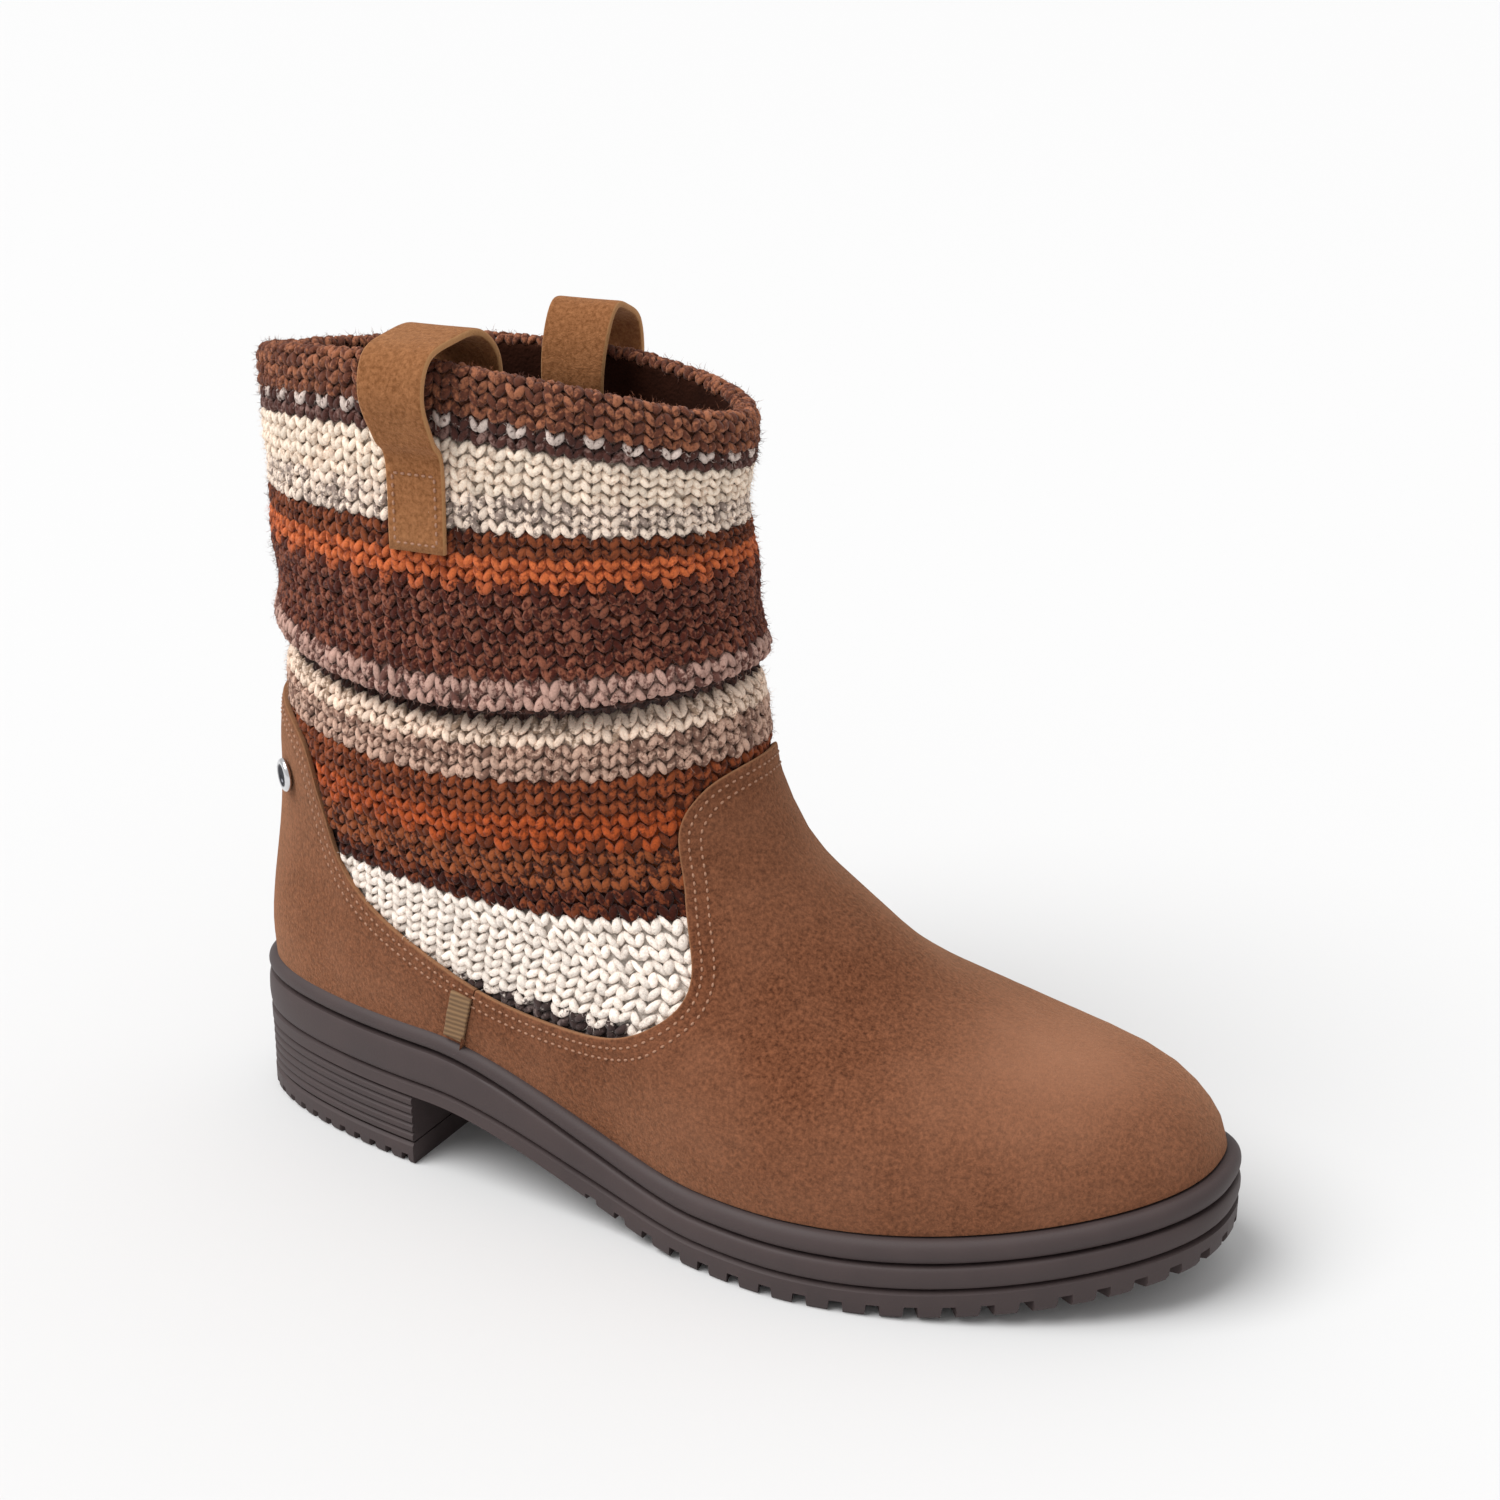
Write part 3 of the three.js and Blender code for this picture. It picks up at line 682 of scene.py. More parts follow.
def facing_out(bm):
    """Turn an open sheet so that its faces point away from the middle of the boot."""
    middle = Vector(in_frame([[SOLE_LENGTH / 2, 0, 40]])[0])
    if sum(part.normal.dot(part.calc_center_median() - middle) for part in bm.faces) < 0:
        bmesh.ops.reverse_faces(bm, faces=bm.faces)
    return bm


def thicken(sheet, thickness):
    """Give a sheet its thickness inwards, with its corners a little worn."""
    wall = sheet.modifiers.new("thickness", "SOLIDIFY")
    wall.thickness = thickness * MM
    wall.offset = -1
    soft = sheet.modifiers.new("soft_edge", "BEVEL")
    soft.width = 0.2 * thickness * MM
    soft.segments = 2
    soft.limit_method = "ANGLE"
    soft.angle_limit = math.radians(50)


def suede_panel(name, front):
    gap = SEAM_GAP if front else -SEAM_GAP
    t, angle, feet = suede_curve(front, gap)
    bands = [march(t, angle, distance) if distance else (t, angle) for distance, _ in EDGE_BANDS]
    last_t, last_angle = bands[-1]
    share = np.linspace(0, 1, len(t))
    foot = feet[0] + (feet[1] - feet[0]) * share
    foot = foot + (last_angle - foot) * FOOT_DRAW
    foot[0] = feet[0]
    foot[-1] = feet[1]
    foot = np.maximum.accumulate(foot)
    for i in range(1, FILL_ROWS + 1):
        w = i / FILL_ROWS
        bands.append((last_t * (1 - w), last_angle + (foot - last_angle) * w))
    rows_t = np.array([band[0] for band in bands])
    rows_angle = np.array([band[1] for band in bands])
    first = -1 if front else 1
    rows_angle[:, 0] = seam_angle(rows_t[:, 0], first, gap)
    rows_angle[:, -1] = seam_angle(rows_t[:, -1], -first, gap) + (TURN if front else 0)
    stand = np.array([up for _, up in EDGE_BANDS] + [0.0] * FILL_ROWS)

    def place(u, v):
        t_here = rows_t[v, u]
        angle_here = rows_angle[v, u]
        out = SUEDE_TOP + stand[v]
        return face(t_here, angle_here) + outward(t_here, angle_here) * out[:, None]

    bm = facing_out(skin(len(t) - 1, len(bands) - 1, place, closed=False))
    cut = bm.verts.layers.float.new("cut")
    painted_toe_highlight = bm.verts.layers.float.new("painted_toe_highlight")
    row = bm.verts.layers.int["row"]
    toe = Vector(in_frame([TOE_PAINTED_HIGHLIGHT["middle"]])[0])
    for vert in bm.verts:
        vert[cut] = 1.0 if vert[row] == 0 else 0.0
        # Painted highlight: paler towards the middle of the toe top, where light falls
        vert[painted_toe_highlight] = TOE_PAINTED_HIGHLIGHT["share"] * math.exp(-((vert.co - toe).length / MM / TOE_PAINTED_HIGHLIGHT["reach"]) ** 2)
    panel = piece(name, bm, suede, "suede", name)
    thicken(panel, SUEDE_THICKNESS)
    centres = []
    along = []
    normals = []
    for distance in THREAD_ROWS:
        row_t, row_angle = evenly(*march(t, angle, distance), THREAD["pitch"])
        points = face(row_t, row_angle)
        normal = outward(row_t, row_angle)
        centres.append(points + normal * (SUEDE_TOP - THREAD["sunk"]))
        along.append(unit(np.gradient(points, axis=0)))
        normals.append(normal)
    mesh = thread_bits(name + "_stitching", np.concatenate(centres), np.concatenate(along),
                       np.concatenate(normals))
    placed(name + "_stitching", mesh, thread, "suede")


suede_panel("vamp", True)
suede_panel("counter", False)

# Knit
# The shaft is stockinette in bulky marled, self-striping wool, sewn under the suede and turned over at
# the collar. Each stitch is two legs of two-ply yarn in a V, and loose fibres stand off it.
WALES = 76
COURSE = 2.7
ROLL_RADIUS = 2.2
ROLL_START = SIDE_LEVELS[-1] - ROLL_RADIUS
ROLL_END = ROLL_START + math.pi * ROLL_RADIUS
SHAFT_HALF = (62, 39.8)
FOLD_LEVEL = 122.5
FOLD_SECTION = 10.3
FOLD_BOW = 6.5
BOW_FADE = 45
TUBE = {"stretch": 0.2, "over": 60, "hook": 20}
OVERHANG = {"level": 128.5, "reach": 3.0, "drop": 1.2}
KNIT_BOTTOM = 47
LEG = {"middle": 0.25, "spread": 0.26, "foot": 0.25, "rise": 0.58, "width": 0.95, "depth": 0.8,
       "crown": 0.35, "dip": 0.5, "tilt": 0.25, "plies": 0.08, "twist": 1.7, "marl": 0.25}
# How unevenly the stitches were made and dyed, as spreads about the mean
LOOSE = {"swell": 0.08, "shove": 0.15, "lift": 0.2, "out": 0.12, "share": 0.22, "tone": 0.08}
WANDER = {"wales": 0.05, "up": 0.21, "round": 0.5}
# Stitches are hidden this many sections below the suede's edge, and sink towards it
TUCK = {"hidden": 0.45, "fade": 0.3, "start": 0.6, "depth": 0.9}
MARL_LEAN = 0.16
# Painted shade on each leg: darker on its underside towards the fabric and at its ends
LEG_PAINTED_SHADE = {"under": 0.74, "over": 0.26, "ends": 0.06}
# Stripes of the yarn from the collar down: upper level on the shaft's side, its two colours, and the
# share of the second; in a flecked stripe the second colour shows on every other wale.
FLECKED = 1
FLECK_SHARE = (0.6, 1.2)
STRIPES = [
    (300.0, "#663C2E", "#A0664A", 0.42),
    (189.4, "#4E302A", "#D8C6BC", FLECKED),
    (186.7, "#54342E", "#8A6C64", 0.25),
    (184.0, "#FFECD8", "#E0C6B0", 0.2),
    (173.2, "#FBE6D4", "#9C8A80", 0.36),
    (165.1, "#84462A", "#4C2418", 0.42),
    (159.7, "#CE6C3E", "#9A4A2A", 0.34),
    (154.3, "#56291E", "#B8603A", FLECKED),
    (151.6, "#4E241B", "#8C5440", 0.42),
    (132.7, "#C09A8C", "#6A463E", 0.34),
    # Dark-brown yarn stripe across the fold, made darker still as painted shade in the crease
    (127.3, "#34201C", "#54362E", 0.3),
    (121.9, "#FFE4CE", "#B0947E", 0.26),
    (116.5, "#CEAA96", "#806052", 0.42),
    (108.4, "#904A2A", "#582A1A", 0.4),
    (100.3, "#B05228", "#7A361A", 0.35),
    (94.9, "#6A341E", "#A84E26", FLECKED),
    (92.2, "#94502E", "#4E281C", 0.42),
    (84.1, "#3E1A12", "#7C3E24", 0.28),
    (78.7, "#FFF2E6", "#E6D8CC", 0.08),
    (57.1, "#463836", "#F6E8DC", FLECKED),
    (54.4, "#463836", "#7A6A66", 0.2),
]
rng = np.random.default_rng(11)
ring_turns = np.linspace(0, TURN, 1441)
ring_steps = np.hypot(np.diff(SHAFT_HALF[0] * np.cos(ring_turns)),
                      np.diff(SHAFT_HALF[1] * np.sin(ring_turns)))
ring_run = np.concatenate([[0], np.cumsum(ring_steps)])
wale_width = ring_run[-1] / WALES
fold_section = np.interp([FOLD_LEVEL], SIDE_LEVELS, SIDE_AT)
tube_length = section("front", fold_section) - section("back", fold_section)


def turn_of(wale):
    """How far round the shaft a wale runs, with all wales equally wide."""
    return np.interp(wale % WALES * wale_width, ring_run, ring_turns)


def tube_angle(t, turn):
    """Angle on a section below the shaft where a wale runs that comes straight down the knitted tube."""
    share = (1 + np.cos(turn)) / 2
    length = section("front", t) - section("back", t)
    straight = tube_length * (1 + TUBE["stretch"] * np.clip((length - tube_length) / TUBE["over"], 0, 1))
    along = straight * share + (length - straight) * share ** TUBE["hook"]
    angle = np.arccos(np.clip(2 * along / length - 1, -1, 1))
    return np.where(np.sin(turn) < 0, TURN - angle, angle)


def knit_at(side_level, turn):
    """Section and angle of the upper behind the knit; below the fold a course runs nearly level."""
    low = side_level < FOLD_LEVEL
    t = np.interp(side_level, SIDE_LEVELS, SIDE_AT)
    angle = turn.copy()
    bow = FOLD_BOW * np.cos(turn) ** 2 * np.maximum(1 - (FOLD_LEVEL - side_level) / BOW_FADE, 0)
    z = (side_level + bow)[low]
    turned = turn[low]
    t[low] = solve(np.zeros_like(z), np.full_like(z, FOLD_SECTION),
                   lambda m: face(m, tube_angle(m, turned))[:, 2] > z, 22)
    angle[low] = tube_angle(t[low], turned)
    return t, angle


def knit_surface(side_level, turn, out):
    """Point off the knit: up the shaft in mm, round it, and out from its face; over the collar too."""
    t, angle = knit_at(np.minimum(side_level, ROLL_START), turn)
    base = face(t, angle)
    normal = outward(t, angle)
    weight = np.exp(-((side_level - OVERHANG["level"]) / OVERHANG["reach"]) ** 2)
    point = base + normal * (out + slouch(side_level, turn))[:, None]
    point[:, 2] -= OVERHANG["drop"] * weight
    over = np.clip((side_level - ROLL_START) / ROLL_RADIUS, 0, math.pi)
    down = np.maximum(side_level - ROLL_START - math.pi * ROLL_RADIUS, 0)
    up = unit(base - face(t - 0.1, angle))
    reach = ROLL_RADIUS + out
    rolled = base + normal * (reach * np.cos(over) - ROLL_RADIUS)[:, None]
    rolled += up * (reach * np.sin(over) - down)[:, None]
    return np.where((side_level > ROLL_START)[:, None], rolled, point)


def stripe_colours(side_level):
    """The yarn's two colours at each level, and the share of the second."""
    tops = np.array([stripe[0] for stripe in STRIPES])
    at = np.searchsorted(-tops, -side_level, side="right") - 1
    main = np.array([linear(stripe[1])[:3] for stripe in STRIPES])[at]
    second = np.array([linear(stripe[2])[:3] for stripe in STRIPES])[at]
    return main, second, np.array([stripe[3] for stripe in STRIPES])[at]


def with_share(main, second, share):
    """The two colours as yarn and ply, with the share of the ply kept in the yarn's alpha."""
    lean = 0.5 + MARL_LEAN * (2 * share - 1)
    return np.concatenate([main, lean], axis=-1), np.concatenate([second, np.ones_like(lean)], axis=-1)


# Wool: matt marled yarn of two plies, whose colours show as streaks and specks of 1.3 mm, broken again
# by its fibres, drawn 0.5 mm wide
wool, tree, shader, place = new_material("marled_wool")
yarn = add_node(tree, "ShaderNodeAttribute", {"attribute_name": "yarn"}, {})
ply = add_node(tree, "ShaderNodeAttribute", {"attribute_name": "ply"}, {})
specks = add_node(tree, "ShaderNodeTexNoise", {}, {
    "Vector": place, "Scale": 1 / 0.0013, "Detail": 3, "Roughness": 0.65})
biased = add_node(tree, "ShaderNodeMath", {}, {0: specks.outputs[0], 1: yarn.outputs["Alpha"]})
twist = add_node(tree, "ShaderNodeMapRange", {}, {
    "Value": biased.outputs[0], "From Min": 0.94, "From Max": 1.06})
marl = add_node(tree, "ShaderNodeMix", {"data_type": "RGBA"}, {
    0: twist.outputs[0], 6: yarn.outputs["Color"], 7: ply.outputs["Color"]})
fibres = add_node(tree, "ShaderNodeTexNoise", {}, {
    "Vector": place, "Scale": 1 / 0.0005, "Detail": 3, "Roughness": 0.7})
broken = add_node(tree, "ShaderNodeMapRange", {}, {
    "Value": fibres.outputs[0], "From Min": 0.3, "From Max": 0.7, "To Min": 0.78, "To Max": 1.2})
shade = add_node(tree, "ShaderNodeVectorMath", {"operation": "SCALE"}, {
    0: marl.outputs[2], 3: broken.outputs[0]})
relief = add_node(tree, "ShaderNodeBump", {}, {
    "Height": fibres.outputs[0], "Strength": 0.8, "Distance": 0.0004})
tree.links.new(shade.outputs[0], shader.inputs["Base Color"])
tree.links.new(relief.outputs[0], shader.inputs["Normal"])
shader.inputs["Roughness"].default_value = 1.0
shader.inputs["Specular IOR Level"].default_value = 0.05
shader.inputs["Sheen Weight"].default_value = 0.12
shader.inputs["Sheen Roughness"].default_value = 0.5

# The loops' backs close the fabric behind the stitches, in the same stripes but in shadow
GROUND = {"outer": -0.7, "inner": -1.4, "round": 144, "shade": 0.72, "step": 1.6}
ground_levels = np.arange(KNIT_BOTTOM, ROLL_END, GROUND["step"])
ground_path = np.concatenate([ground_levels, ground_levels[::-1]])


def ground_place(u, v):
    v = v % len(ground_path)
    out = np.where(v < len(ground_levels), GROUND["outer"], GROUND["inner"])
    return knit_surface(ground_path[v], u / GROUND["round"] * TURN, out)


bm = skin(GROUND["round"], len(ground_path), ground_place)
main, second, share = stripe_colours(ground_path)
shares = np.minimum(share, 0.5)[:, None]
grounds = with_share(main * GROUND["shade"], second * GROUND["shade"], shares)
for layer, colours in zip(("yarn", "ply"), grounds):
    painted = bm.verts.layers.float_color.new(layer)
    row = bm.verts.layers.int["row"]
    for vert in bm.verts:
        vert[painted] = colours[vert[row] % len(ground_path)]
piece("knit_ground", bm, wool, "knit", "upper")


# One leg: a slim bead whose two plies wind round it
bead, bead_faces = round_bead(7, 6)
bead_along = bead[:, 2]
wound = np.cos(2 * (np.arctan2(bead[:, 1], bead[:, 0]) - LEG["twist"] * bead_along))
ring = np.hypot(bead[:, 0], bead[:, 1])
fullness = np.sqrt(np.maximum(1 - np.abs(bead_along) ** 3, 0)) / np.maximum(ring, 1e-6)
fullness = np.where(ring > 1e-3, fullness * (1 + LEG["plies"] * wound), 0)
bead_across = bead[:, 0] * fullness
bead_out = bead[:, 1] * fullness

courses = np.arange(KNIT_BOTTOM, ROLL_END, COURSE)
stitch_course, stitch_wale = (
    grid.ravel() for grid in np.meshgrid(np.arange(len(courses)), np.arange(WALES), indexing="ij"))
stitch_level = courses[stitch_course]
stitch_t, stitch_angle = knit_at(np.minimum(stitch_level, ROLL_START), turn_of(stitch_wale))
edge_angles = np.concatenate([inner_angle[::-1], outer_angle])
edge_order = np.argsort(edge_angles)
edge_sections = np.concatenate([inner_t[::-1], outer_t])[edge_order]
edge_t = np.interp(stitch_angle, edge_angles[edge_order], edge_sections)
shown = stitch_t > edge_t - TUCK["hidden"]
tucked = np.clip((edge_t - stitch_t) / TUCK["fade"] + TUCK["start"], 0, 1)
KNIT_PARTS = {"knit_window": (0, 121), "knit_shaft_lower": (121, 153), "knit_shaft_upper": (153, 184),
              "knit_collar": (184, 999)}
lean = math.atan2(LEG["spread"] * wale_width, LEG["rise"] * COURSE)
leg_painted_shade = LEG_PAINTED_SHADE["under"] + LEG_PAINTED_SHADE["over"] * (bead_out + 1) / 2 - LEG_PAINTED_SHADE["ends"] * bead_along ** 2
leg_painted_shade = np.clip(leg_painted_shade, 0, 1)
every_leg = []
every_yarn = []
every_ply = []
for name, (low, high) in KNIT_PARTS.items():
    mine = shown & (stitch_level >= low) & (stitch_level < high)
    count = int(mine.sum())
    at_level = stitch_level[mine][:, None]
    at_wale = stitch_wale[mine][:, None]
    wander = WANDER["wales"] * np.sin(WANDER["up"] * at_level + WANDER["round"] * at_wale)
    legs = []
    yarns = []
    plies = []
    for leg in (-1, 1):
        swell = rng.normal(1, LOOSE["swell"], (count, 1))
        shove = rng.normal(0, LOOSE["shove"], (count, 1))
        lift = rng.normal(0, LOOSE["lift"], (count, 1))
        across = bead_across * LEG["width"] * swell
        a = leg * (LEG["middle"] + LEG["spread"] * bead_along)
        a = a + (across * math.cos(lean) + shove) / wale_width
        b = COURSE * (LEG["foot"] + LEG["rise"] * bead_along) - leg * across * math.sin(lean) + lift
        o = LEG["crown"] - LEG["dip"] * bead_along ** 2 - LEG["tilt"] * bead_along
        o = o + bead_out * LEG["depth"] * swell - tucked[mine][:, None] * TUCK["depth"]
        o = o + rng.normal(0, LOOSE["out"], (count, 1))
        turn = turn_of((at_wale + a + wander).ravel())
        points = knit_surface((at_level + b).ravel(), turn, o.ravel())
        legs.append(points.reshape(count, len(bead), 3))
        main, second, share = stripe_colours(stitch_level[mine] + LEG["foot"] * COURSE)
        speckled = np.clip(share + rng.normal(0, LOOSE["share"], count), -0.2, 1.2)
        flecked = stitch_wale[mine] % 2 * rng.uniform(*FLECK_SHARE, count)
        share = np.where(share == FLECKED, flecked, speckled)[:, None] + LEG["marl"] * wound
        # Each leg's random tone of the dye, times its painted shade
        tone = rng.normal(1, LOOSE["tone"], (count, 1, 1)) * leg_painted_shade[None, :, None]
        twisted = with_share(main[:, None, :] * tone, second[:, None, :] * tone, share[:, :, None])
        yarns.append(twisted[0])
        plies.append(twisted[1])
    parts = [np.concatenate(part) for part in (legs, yarns, plies)]
    mesh = joined(name, parts[0], bead_faces, yarn=parts[1], ply=parts[2])
    placed(name, mesh, wool, "knit", "upper")
    every_leg.append(parts[0])
    every_yarn.append(parts[1])
    every_ply.append(parts[2])

# Loose fibres: bent hairs that rise off the yarn and lie over, drawn 0.1 mm thick so that they show
FIBRE = {"count": 27000, "length": 2.0, "radius": 0.045, "root": 0.2, "spread": 0.9, "bend": 1.5,
         "taper": 0.8, "paler": 1.15}
FIBRE_FACES = [(2, 1, 0), (0, 1, 4, 3), (1, 2, 5, 4), (2, 0, 3, 5), (3, 4, 6), (4, 5, 6), (5, 3, 6)]
every_leg, every_yarn, every_ply = (np.concatenate(part) for part in (every_leg, every_yarn, every_ply))
pick = rng.integers(0, len(every_leg), FIBRE["count"])
corner = rng.choice(np.flatnonzero(bead_out > 0.4), FIBRE["count"])
root = every_leg[pick, corner]
away = unit(root - every_leg[pick].mean(axis=1))
rise = unit(away + FIBRE["spread"] * rng.normal(0, 1, away.shape))
droop = unit(rise + FIBRE["bend"] * rng.normal(0, 1, away.shape))
half = FIBRE["length"] / 2 * rng.uniform(0.5, 1.3, (FIBRE["count"], 1))
one = unit(np.cross(rise, rng.normal(0, 1, away.shape))) * FIBRE["radius"]
two = np.cross(rise, one)
around = [one, -0.5 * one + 0.87 * two, -0.5 * one - 0.87 * two]
bend = root + rise * half
feet = [root - rise * FIBRE["root"] + side for side in around]
knees = [bend + FIBRE["taper"] * side for side in around]
hairs = np.stack(feet + knees + [bend + droop * half], axis=1)
paler = np.array([FIBRE["paler"]] * 3 + [1])
tints = {layer: np.repeat((colours[pick, corner] * paler)[:, None, :], hairs.shape[1], axis=1)
         for layer, colours in (("yarn", every_yarn), ("ply", every_ply))}
middle = FIBRE["count"] // 2
for name, kept in (("knit_fuzz_a", slice(None, middle)), ("knit_fuzz_b", slice(middle, None))):
    mine = {layer: tint[kept] for layer, tint in tints.items()}
    placed(name, joined(name, hairs[kept], FIBRE_FACES, **mine), wool, "knit")

# Pull loops
# A strap of tan suede on each side to pull the boot on by. It is bent over the collar, sewn down
# outside by a square of stitches, and caught inside under the lining.
LOOP_X = 76.4
LOOP_THICKNESS = 2
LOOP_OUTER_RISE = 5.5
LOOP_INNER_RISE = 10.5
# Path across the collar: out from the shaft's side, up from the collar, share of the rise, how far the
# strap has swung to the toe, and its width
LOOP_PATH = [
    (1.6, -42, 0, 0, 14.6), (1.6, -22, 0, 0, 14.8), (5.4, -16, 0, 0, 15.4), (9.6, -7, 0.1, 0, 16.4),
    (7.4, -1, 0.55, 0.4, 17), (-1, 0, 0.9, 1.4, 17.6), (-9, 0, 1, 2.6, 17.8), (-15, -3, 0.6, 3.4, 17.4),
    (-16.4, -9, 0.2, 3.2, 16.6), (-12, -17, 0, 2, 15.6), (-7, -24, 0, 1, 15), (-5.8, -34, 0, 0, 14.6),
]
LOOP_STEPS = 80
LOOP_RING = 24
LOOP_SQUARE = 3
LOOP_CURL = 0.25
RAW_FROM = 0.97
PATCH_FOOT = -40.2
PATCH_HEAD = -24.5
PATCH_HALF = 5.5
tan_suede = suede_material("tan_suede", "#744828", "#A06C46", "#B08058", "#B08258")


def pull_loop(name, side, rise):
    at = np.linspace(0, len(LOOP_PATH) - 1, LOOP_STEPS)
    knots = np.arange(len(LOOP_PATH))
    out, up, arch, swung, width = (between(knots, column, at) for column in zip(*LOOP_PATH))
    up = up + arch * rise
    slope = unit(np.stack([np.gradient(out), np.gradient(up)], axis=1))
    collar = dict(zip(COLUMNS, SECTIONS[-1]))
    height = (collar["z_back"] + collar["z_front"]) / 2 + collar["lift"] - side * collar["lean"]
    theta = np.arange(LOOP_RING) / LOOP_RING * TURN
    wide = np.sign(np.cos(theta)) * np.abs(np.cos(theta)) ** (1 / LOOP_SQUARE)
    thick = np.sign(np.sin(theta)) * np.abs(np.sin(theta)) ** (1 / LOOP_SQUARE)

    def place(u, v):
        k = np.clip(u - 1, 0, LOOP_STEPS - 1)
        end = (u == 0) | (u == LOOP_STEPS + 1)
        v = v % LOOP_RING
        h = np.where(end, 0, thick[v] * LOOP_THICKNESS / 2)
        h = h + LOOP_CURL * wide[v] ** 4
        w = wide[v] * width[k] / 2 + swung[k]
        y = collar["waist"] + out[k] + slope[k, 1] * h
        z = height + up[k] - slope[k, 0] * h
        return np.stack([LOOP_X + w, side * y, z], axis=1)

    bm = skin(LOOP_STEPS + 1, LOOP_RING, place)
    cut = bm.verts.layers.float.new("cut")
    row = bm.verts.layers.int["row"]
    for vert in bm.verts:
        vert[cut] = float(abs(wide[vert[row] % LOOP_RING]) > RAW_FROM)
    piece(name, bm, tan_suede, "loop_suede", name)
    corners = [(-PATCH_HALF, PATCH_HEAD), (-PATCH_HALF, PATCH_FOOT), (PATCH_HALF, PATCH_FOOT),
               (PATCH_HALF, PATCH_HEAD), (-PATCH_HALF, PATCH_HEAD)]
    centres = []
    along = []
    for (x0, z0), (x1, z1) in zip(corners, corners[1:]):
        count = round(math.hypot(x1 - x0, z1 - z0) / THREAD["pitch"])
        for i in range(count):
            w = (i + 0.5) / count
            y = side * (collar["waist"] + LOOP_PATH[0][0] + LOOP_THICKNESS / 2 - THREAD["sunk"])
            centres.append((LOOP_X + x0 + (x1 - x0) * w, y, height + z0 + (z1 - z0) * w))
            along.append((x1 - x0, 0, z1 - z0))
    normals = np.tile([0.0, side, 0.0], (len(centres), 1))
    mesh = thread_bits(name + "_stitching", np.array(centres), unit(np.array(along, float)), normals)
    placed(name + "_stitching", mesh, thread, "loop_suede")


pull_loop("pull_loop_lateral", -1, LOOP_OUTER_RISE)
pull_loop("pull_loop_medial", 1, LOOP_INNER_RISE)

# Rivet
# A cap rivet of nickel-plated brass with a raised bright ring round a dished middle, pressed
# through the counter beside the heel. The dish is painted dark as a painted reflection.
RIVET_SECTION = 6.1
RIVET_ANGLE = 211
RIVET_SEAT = 0.35
RIVET_PROFILE = [(0.0, 0.0), (3.7, 0.0), (4.15, 0.2), (4.3, 0.6), (4.25, 1.0), (4.0, 1.4), (3.6, 1.65),
                 (3.15, 1.7), (2.75, 1.5), (2.5, 1.1), (2.3, 0.8), (1.4, 0.68), (0.0, 0.65)]
RIVET_DISH = 2.85

# Nickel plate: a bright polished metal with faint swirls from wear, painted dark in the dish as a painted
# reflection
nickel, tree, shader, place = new_material("polished_nickel")
swirl = add_node(tree, "ShaderNodeTexNoise", {}, {"Vector": place, "Scale": 1 / 0.0009, "Detail": 2})
rough = add_node(tree, "ShaderNodeMapRange", {}, {"Value": swirl.outputs[0], "To Min": 0.12, "To Max": 0.3})
tree.links.new(rough.outputs[0], shader.inputs["Roughness"])
# Painted reflection: the dish is painted dark
painted_dark_reflection = add_node(tree, "ShaderNodeAttribute", {"attribute_name": "painted_dark_reflection"}, {})
shade = add_node(tree, "ShaderNodeMix", {"data_type": "RGBA"}, {
    0: painted_dark_reflection.outputs["Fac"], 6: linear("#D6D6D8"), 7: linear("#4A4A4E")})
tree.links.new(shade.outputs[2], shader.inputs["Base Color"])
shader.inputs["Metallic"].default_value = 1.0

bm = bmesh.new()
outline = [bm.verts.new((r, 0, h)) for r, h in RIVET_PROFILE]
lines = [bm.edges.new(pair) for pair in zip(outline, outline[1:])]
bmesh.ops.spin(bm, geom=outline + lines, cent=(0, 0, 0), axis=(0, 0, 1), angle=TURN, steps=32,
               use_merge=True)
bmesh.ops.remove_doubles(bm, verts=bm.verts, dist=1e-4)
bmesh.ops.recalc_face_normals(bm, faces=bm.faces)
painted_dark_reflection = bm.verts.layers.float.new("painted_dark_reflection")
# Painted reflection: every point inside the dish is painted dark
for vert in bm.verts:
    vert[painted_dark_reflection] = float(vert.co.xy.length < RIVET_DISH)
rivet_t = np.array([RIVET_SECTION])
rivet_angle = np.radians([RIVET_ANGLE])
rivet_out = outward(rivet_t, rivet_angle)
seat = face(rivet_t, rivet_angle) + rivet_out * (SUEDE_TOP + RIVET_SEAT)
turned = Vector(rivet_out[0]).to_track_quat("Z", "Y").to_matrix().to_4x4()
bm.transform(Matrix.Translation(in_frame(seat)[0]) @ turned @ Matrix.Scale(MM, 4))
piece("rivet", bm, nickel, "rivet_metal", "rivet")

# Side tab
# A short end of plain khaki cotton tape, woven with fine ribs across. It is caught in the outer side
# seam and lies on the counter.
TAB = {"width": 6.5, "low": 0.25, "high": 1.72, "thickness": 0.8, "ripple": 0.08}
TAB_COLUMNS = 8
TAB_ROWS = 16

# Woven cotton tape: dull khaki, with the weft's ribs 0.7 mm apart across it
tape, tree, shader, place = new_material("cotton_tape")
weft = add_node(tree, "ShaderNodeTexWave", {"bands_direction": "Z"}, {
    "Vector": place, "Scale": 0.314 / 0.0014, "Distortion": 1.5, "Detail": 2})
shade = add_node(tree, "ShaderNodeMix", {"data_type": "RGBA"}, {
    0: weft.outputs["Fac"], 6: linear("#6A4F36"), 7: linear("#8C6D4C")})
relief = add_node(tree, "ShaderNodeBump", {}, {
    "Height": weft.outputs["Fac"], "Strength": 0.5, "Distance": 0.0002})
tree.links.new(shade.outputs[2], shader.inputs["Base Color"])
tree.links.new(relief.outputs[0], shader.inputs["Normal"])
shader.inputs["Roughness"].default_value = 0.9


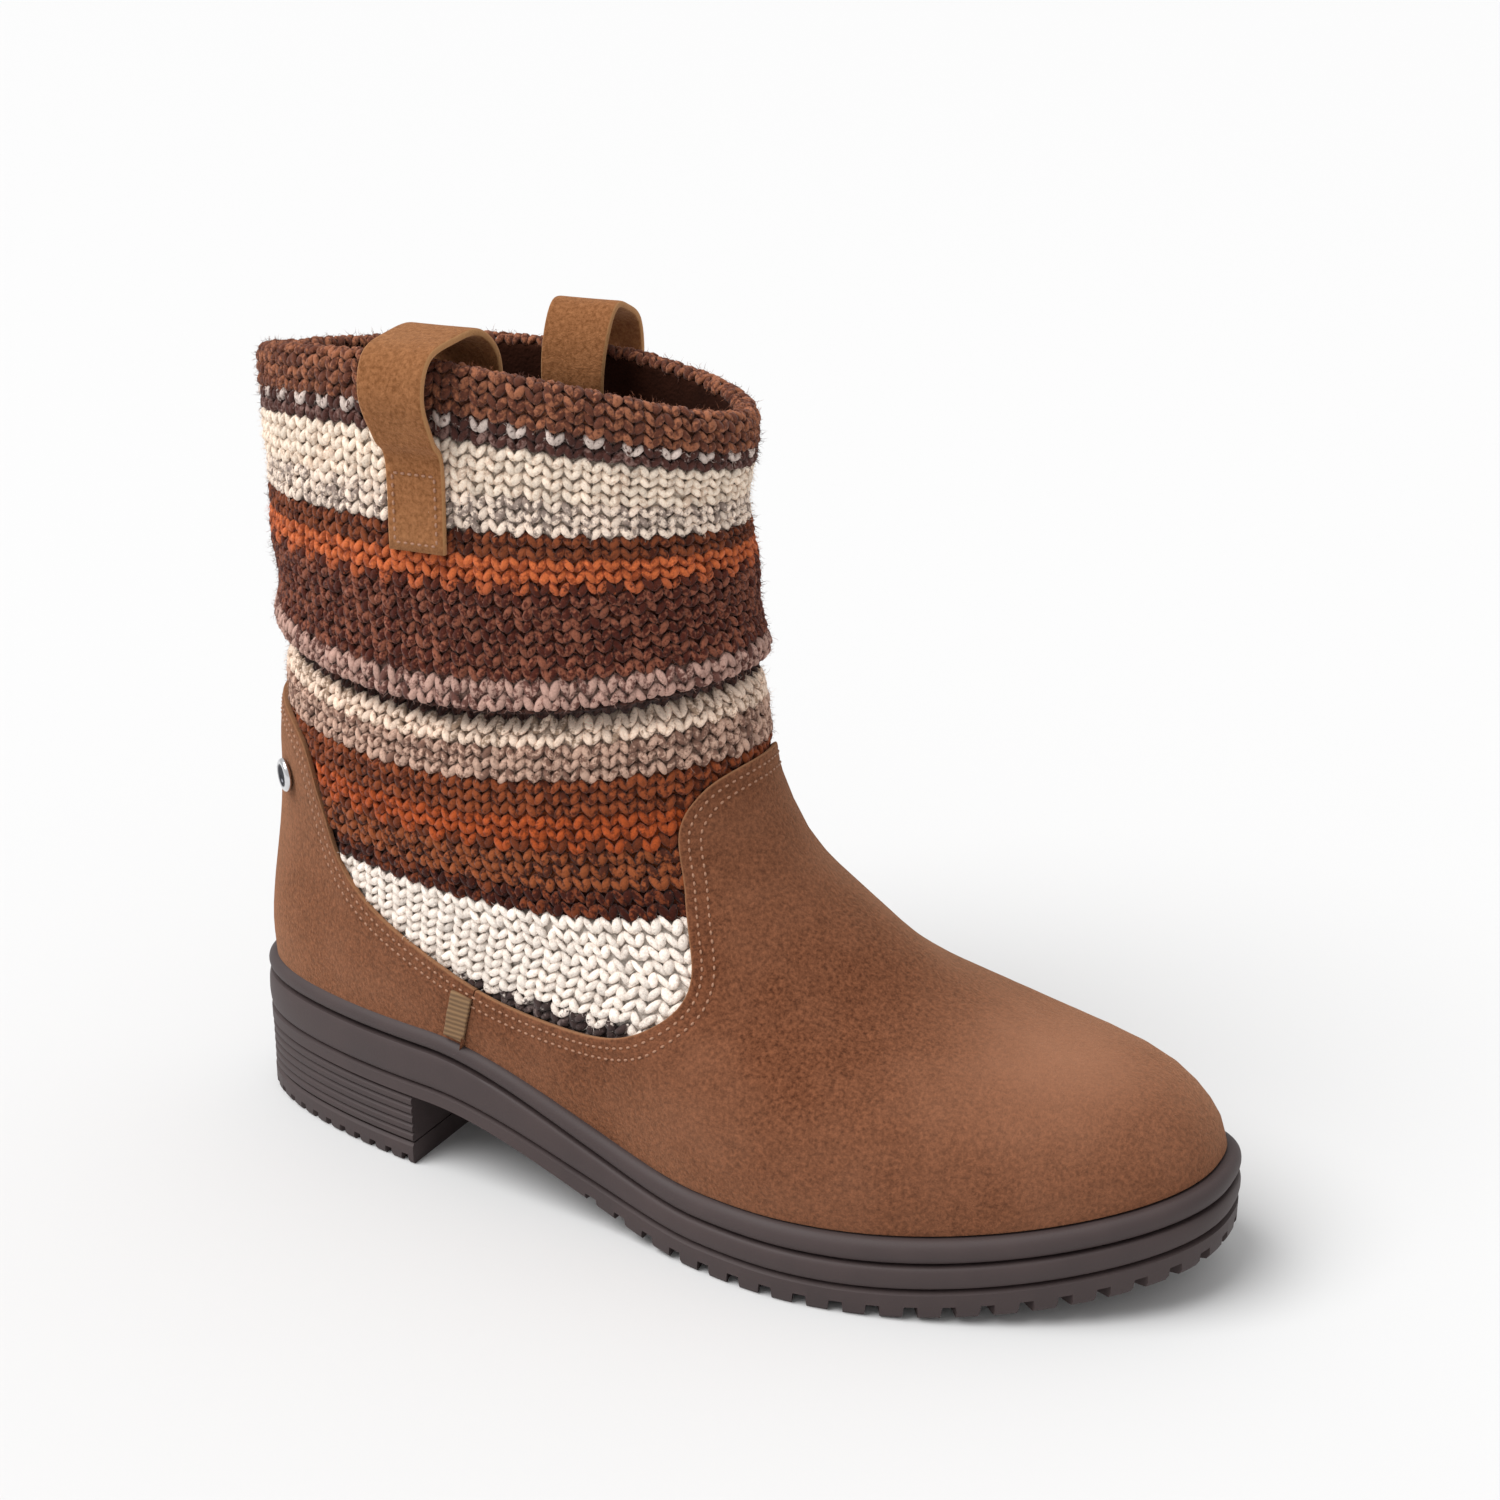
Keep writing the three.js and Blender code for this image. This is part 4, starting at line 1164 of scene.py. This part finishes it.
def tab_place(u, v):
    t = TAB["low"] + (TAB["high"] - TAB["low"]) * v / TAB_ROWS
    half_length = (section("front", t) - section("back", t)) / 2
    angle = seam_angle(t, -1, 0) - TAB["width"] / half_length * (1 - u / TAB_COLUMNS)
    out = SUEDE_TOP + TAB["thickness"] + TAB["ripple"] * np.sin(v)
    return face(t, angle) + outward(t, angle) * out[:, None]


tab = piece("side_tab", facing_out(skin(TAB_COLUMNS, TAB_ROWS, tab_place, closed=False)), tape, "suede")
thicken(tab, TAB["thickness"])

# Floor, light and camera
# The boot stands on a wide white sweep of paper, in even light from all round and from one large soft
# lamp. It is seen from its outer side, a little from the front and from above.
CAMERA_TARGET = (128, 0, 80)
CAMERA_AZIMUTH = 26.86
CAMERA_ELEVATION = 22.0
CAMERA_DISTANCE = 600
PHOTO_SIZE = 1500
PHOTO_SCALE = 4.16
TARGET_PIXEL = (708.83, 865.71)
SENSOR = 36

scene = bpy.context.scene
scene.view_settings.view_transform = "Standard"
azimuth = math.radians(CAMERA_AZIMUTH)
elevation = math.radians(CAMERA_ELEVATION)
back = Vector((math.sin(azimuth) * math.cos(elevation), -math.cos(azimuth) * math.cos(elevation),
               math.sin(elevation)))
target = Vector(in_frame([CAMERA_TARGET])[0])
camera = bpy.data.objects.new("camera", bpy.data.cameras.new("camera"))
scene.collection.objects.link(camera)
camera.location = target + back * CAMERA_DISTANCE * MM
camera.rotation_euler = back.to_track_quat("Z", "Y").to_euler()
camera.data.sensor_width = SENSOR
camera.data.lens = SENSOR * PHOTO_SCALE * CAMERA_DISTANCE / PHOTO_SIZE
camera.data.shift_x = 0.5 - TARGET_PIXEL[0] / PHOTO_SIZE
camera.data.shift_y = TARGET_PIXEL[1] / PHOTO_SIZE - 0.5
camera.data.clip_start = 0.01
scene.camera = camera

white, tree, shader, place = new_material("white_sweep")
shader.inputs["Base Color"].default_value = linear("#DDDDDD")
shader.inputs["Roughness"].default_value = 0.9
FLOOR_SIZE = 30
FLOOR_CELLS = 4
bm = bmesh.new()
bmesh.ops.create_grid(bm, x_segments=FLOOR_CELLS, y_segments=FLOOR_CELLS, size=FLOOR_SIZE / 2)
mesh = bpy.data.meshes.new("floor")
bm.to_mesh(mesh)
bm.free()
floor = bpy.data.objects.new("floor", mesh)
mesh.materials.append(white)
scene.collection.objects.link(floor)

ROOM_LIGHT = 0.67
world = bpy.data.worlds.new("studio")
world.use_nodes = True
world.node_tree.nodes["Background"].inputs["Color"].default_value = linear("#FFFFFF")
world.node_tree.nodes["Background"].inputs["Strength"].default_value = ROOM_LIGHT
scene.world = world
# One very large soft lamp high on the left in front of the boot, as even as daylight
LAMP_FROM = (-0.45, -0.5, 1)
LAMP_SPREAD = 45
LAMP_POWER = 2.62
lamp = bpy.data.lights.new("soft_lamp", "SUN")
lamp.angle = math.radians(LAMP_SPREAD)
lamp.energy = LAMP_POWER
stand = bpy.data.objects.new("soft_lamp", lamp)
scene.collection.objects.link(stand)
stand.rotation_euler = Vector(LAMP_FROM).to_track_quat("Z", "Y").to_euler()
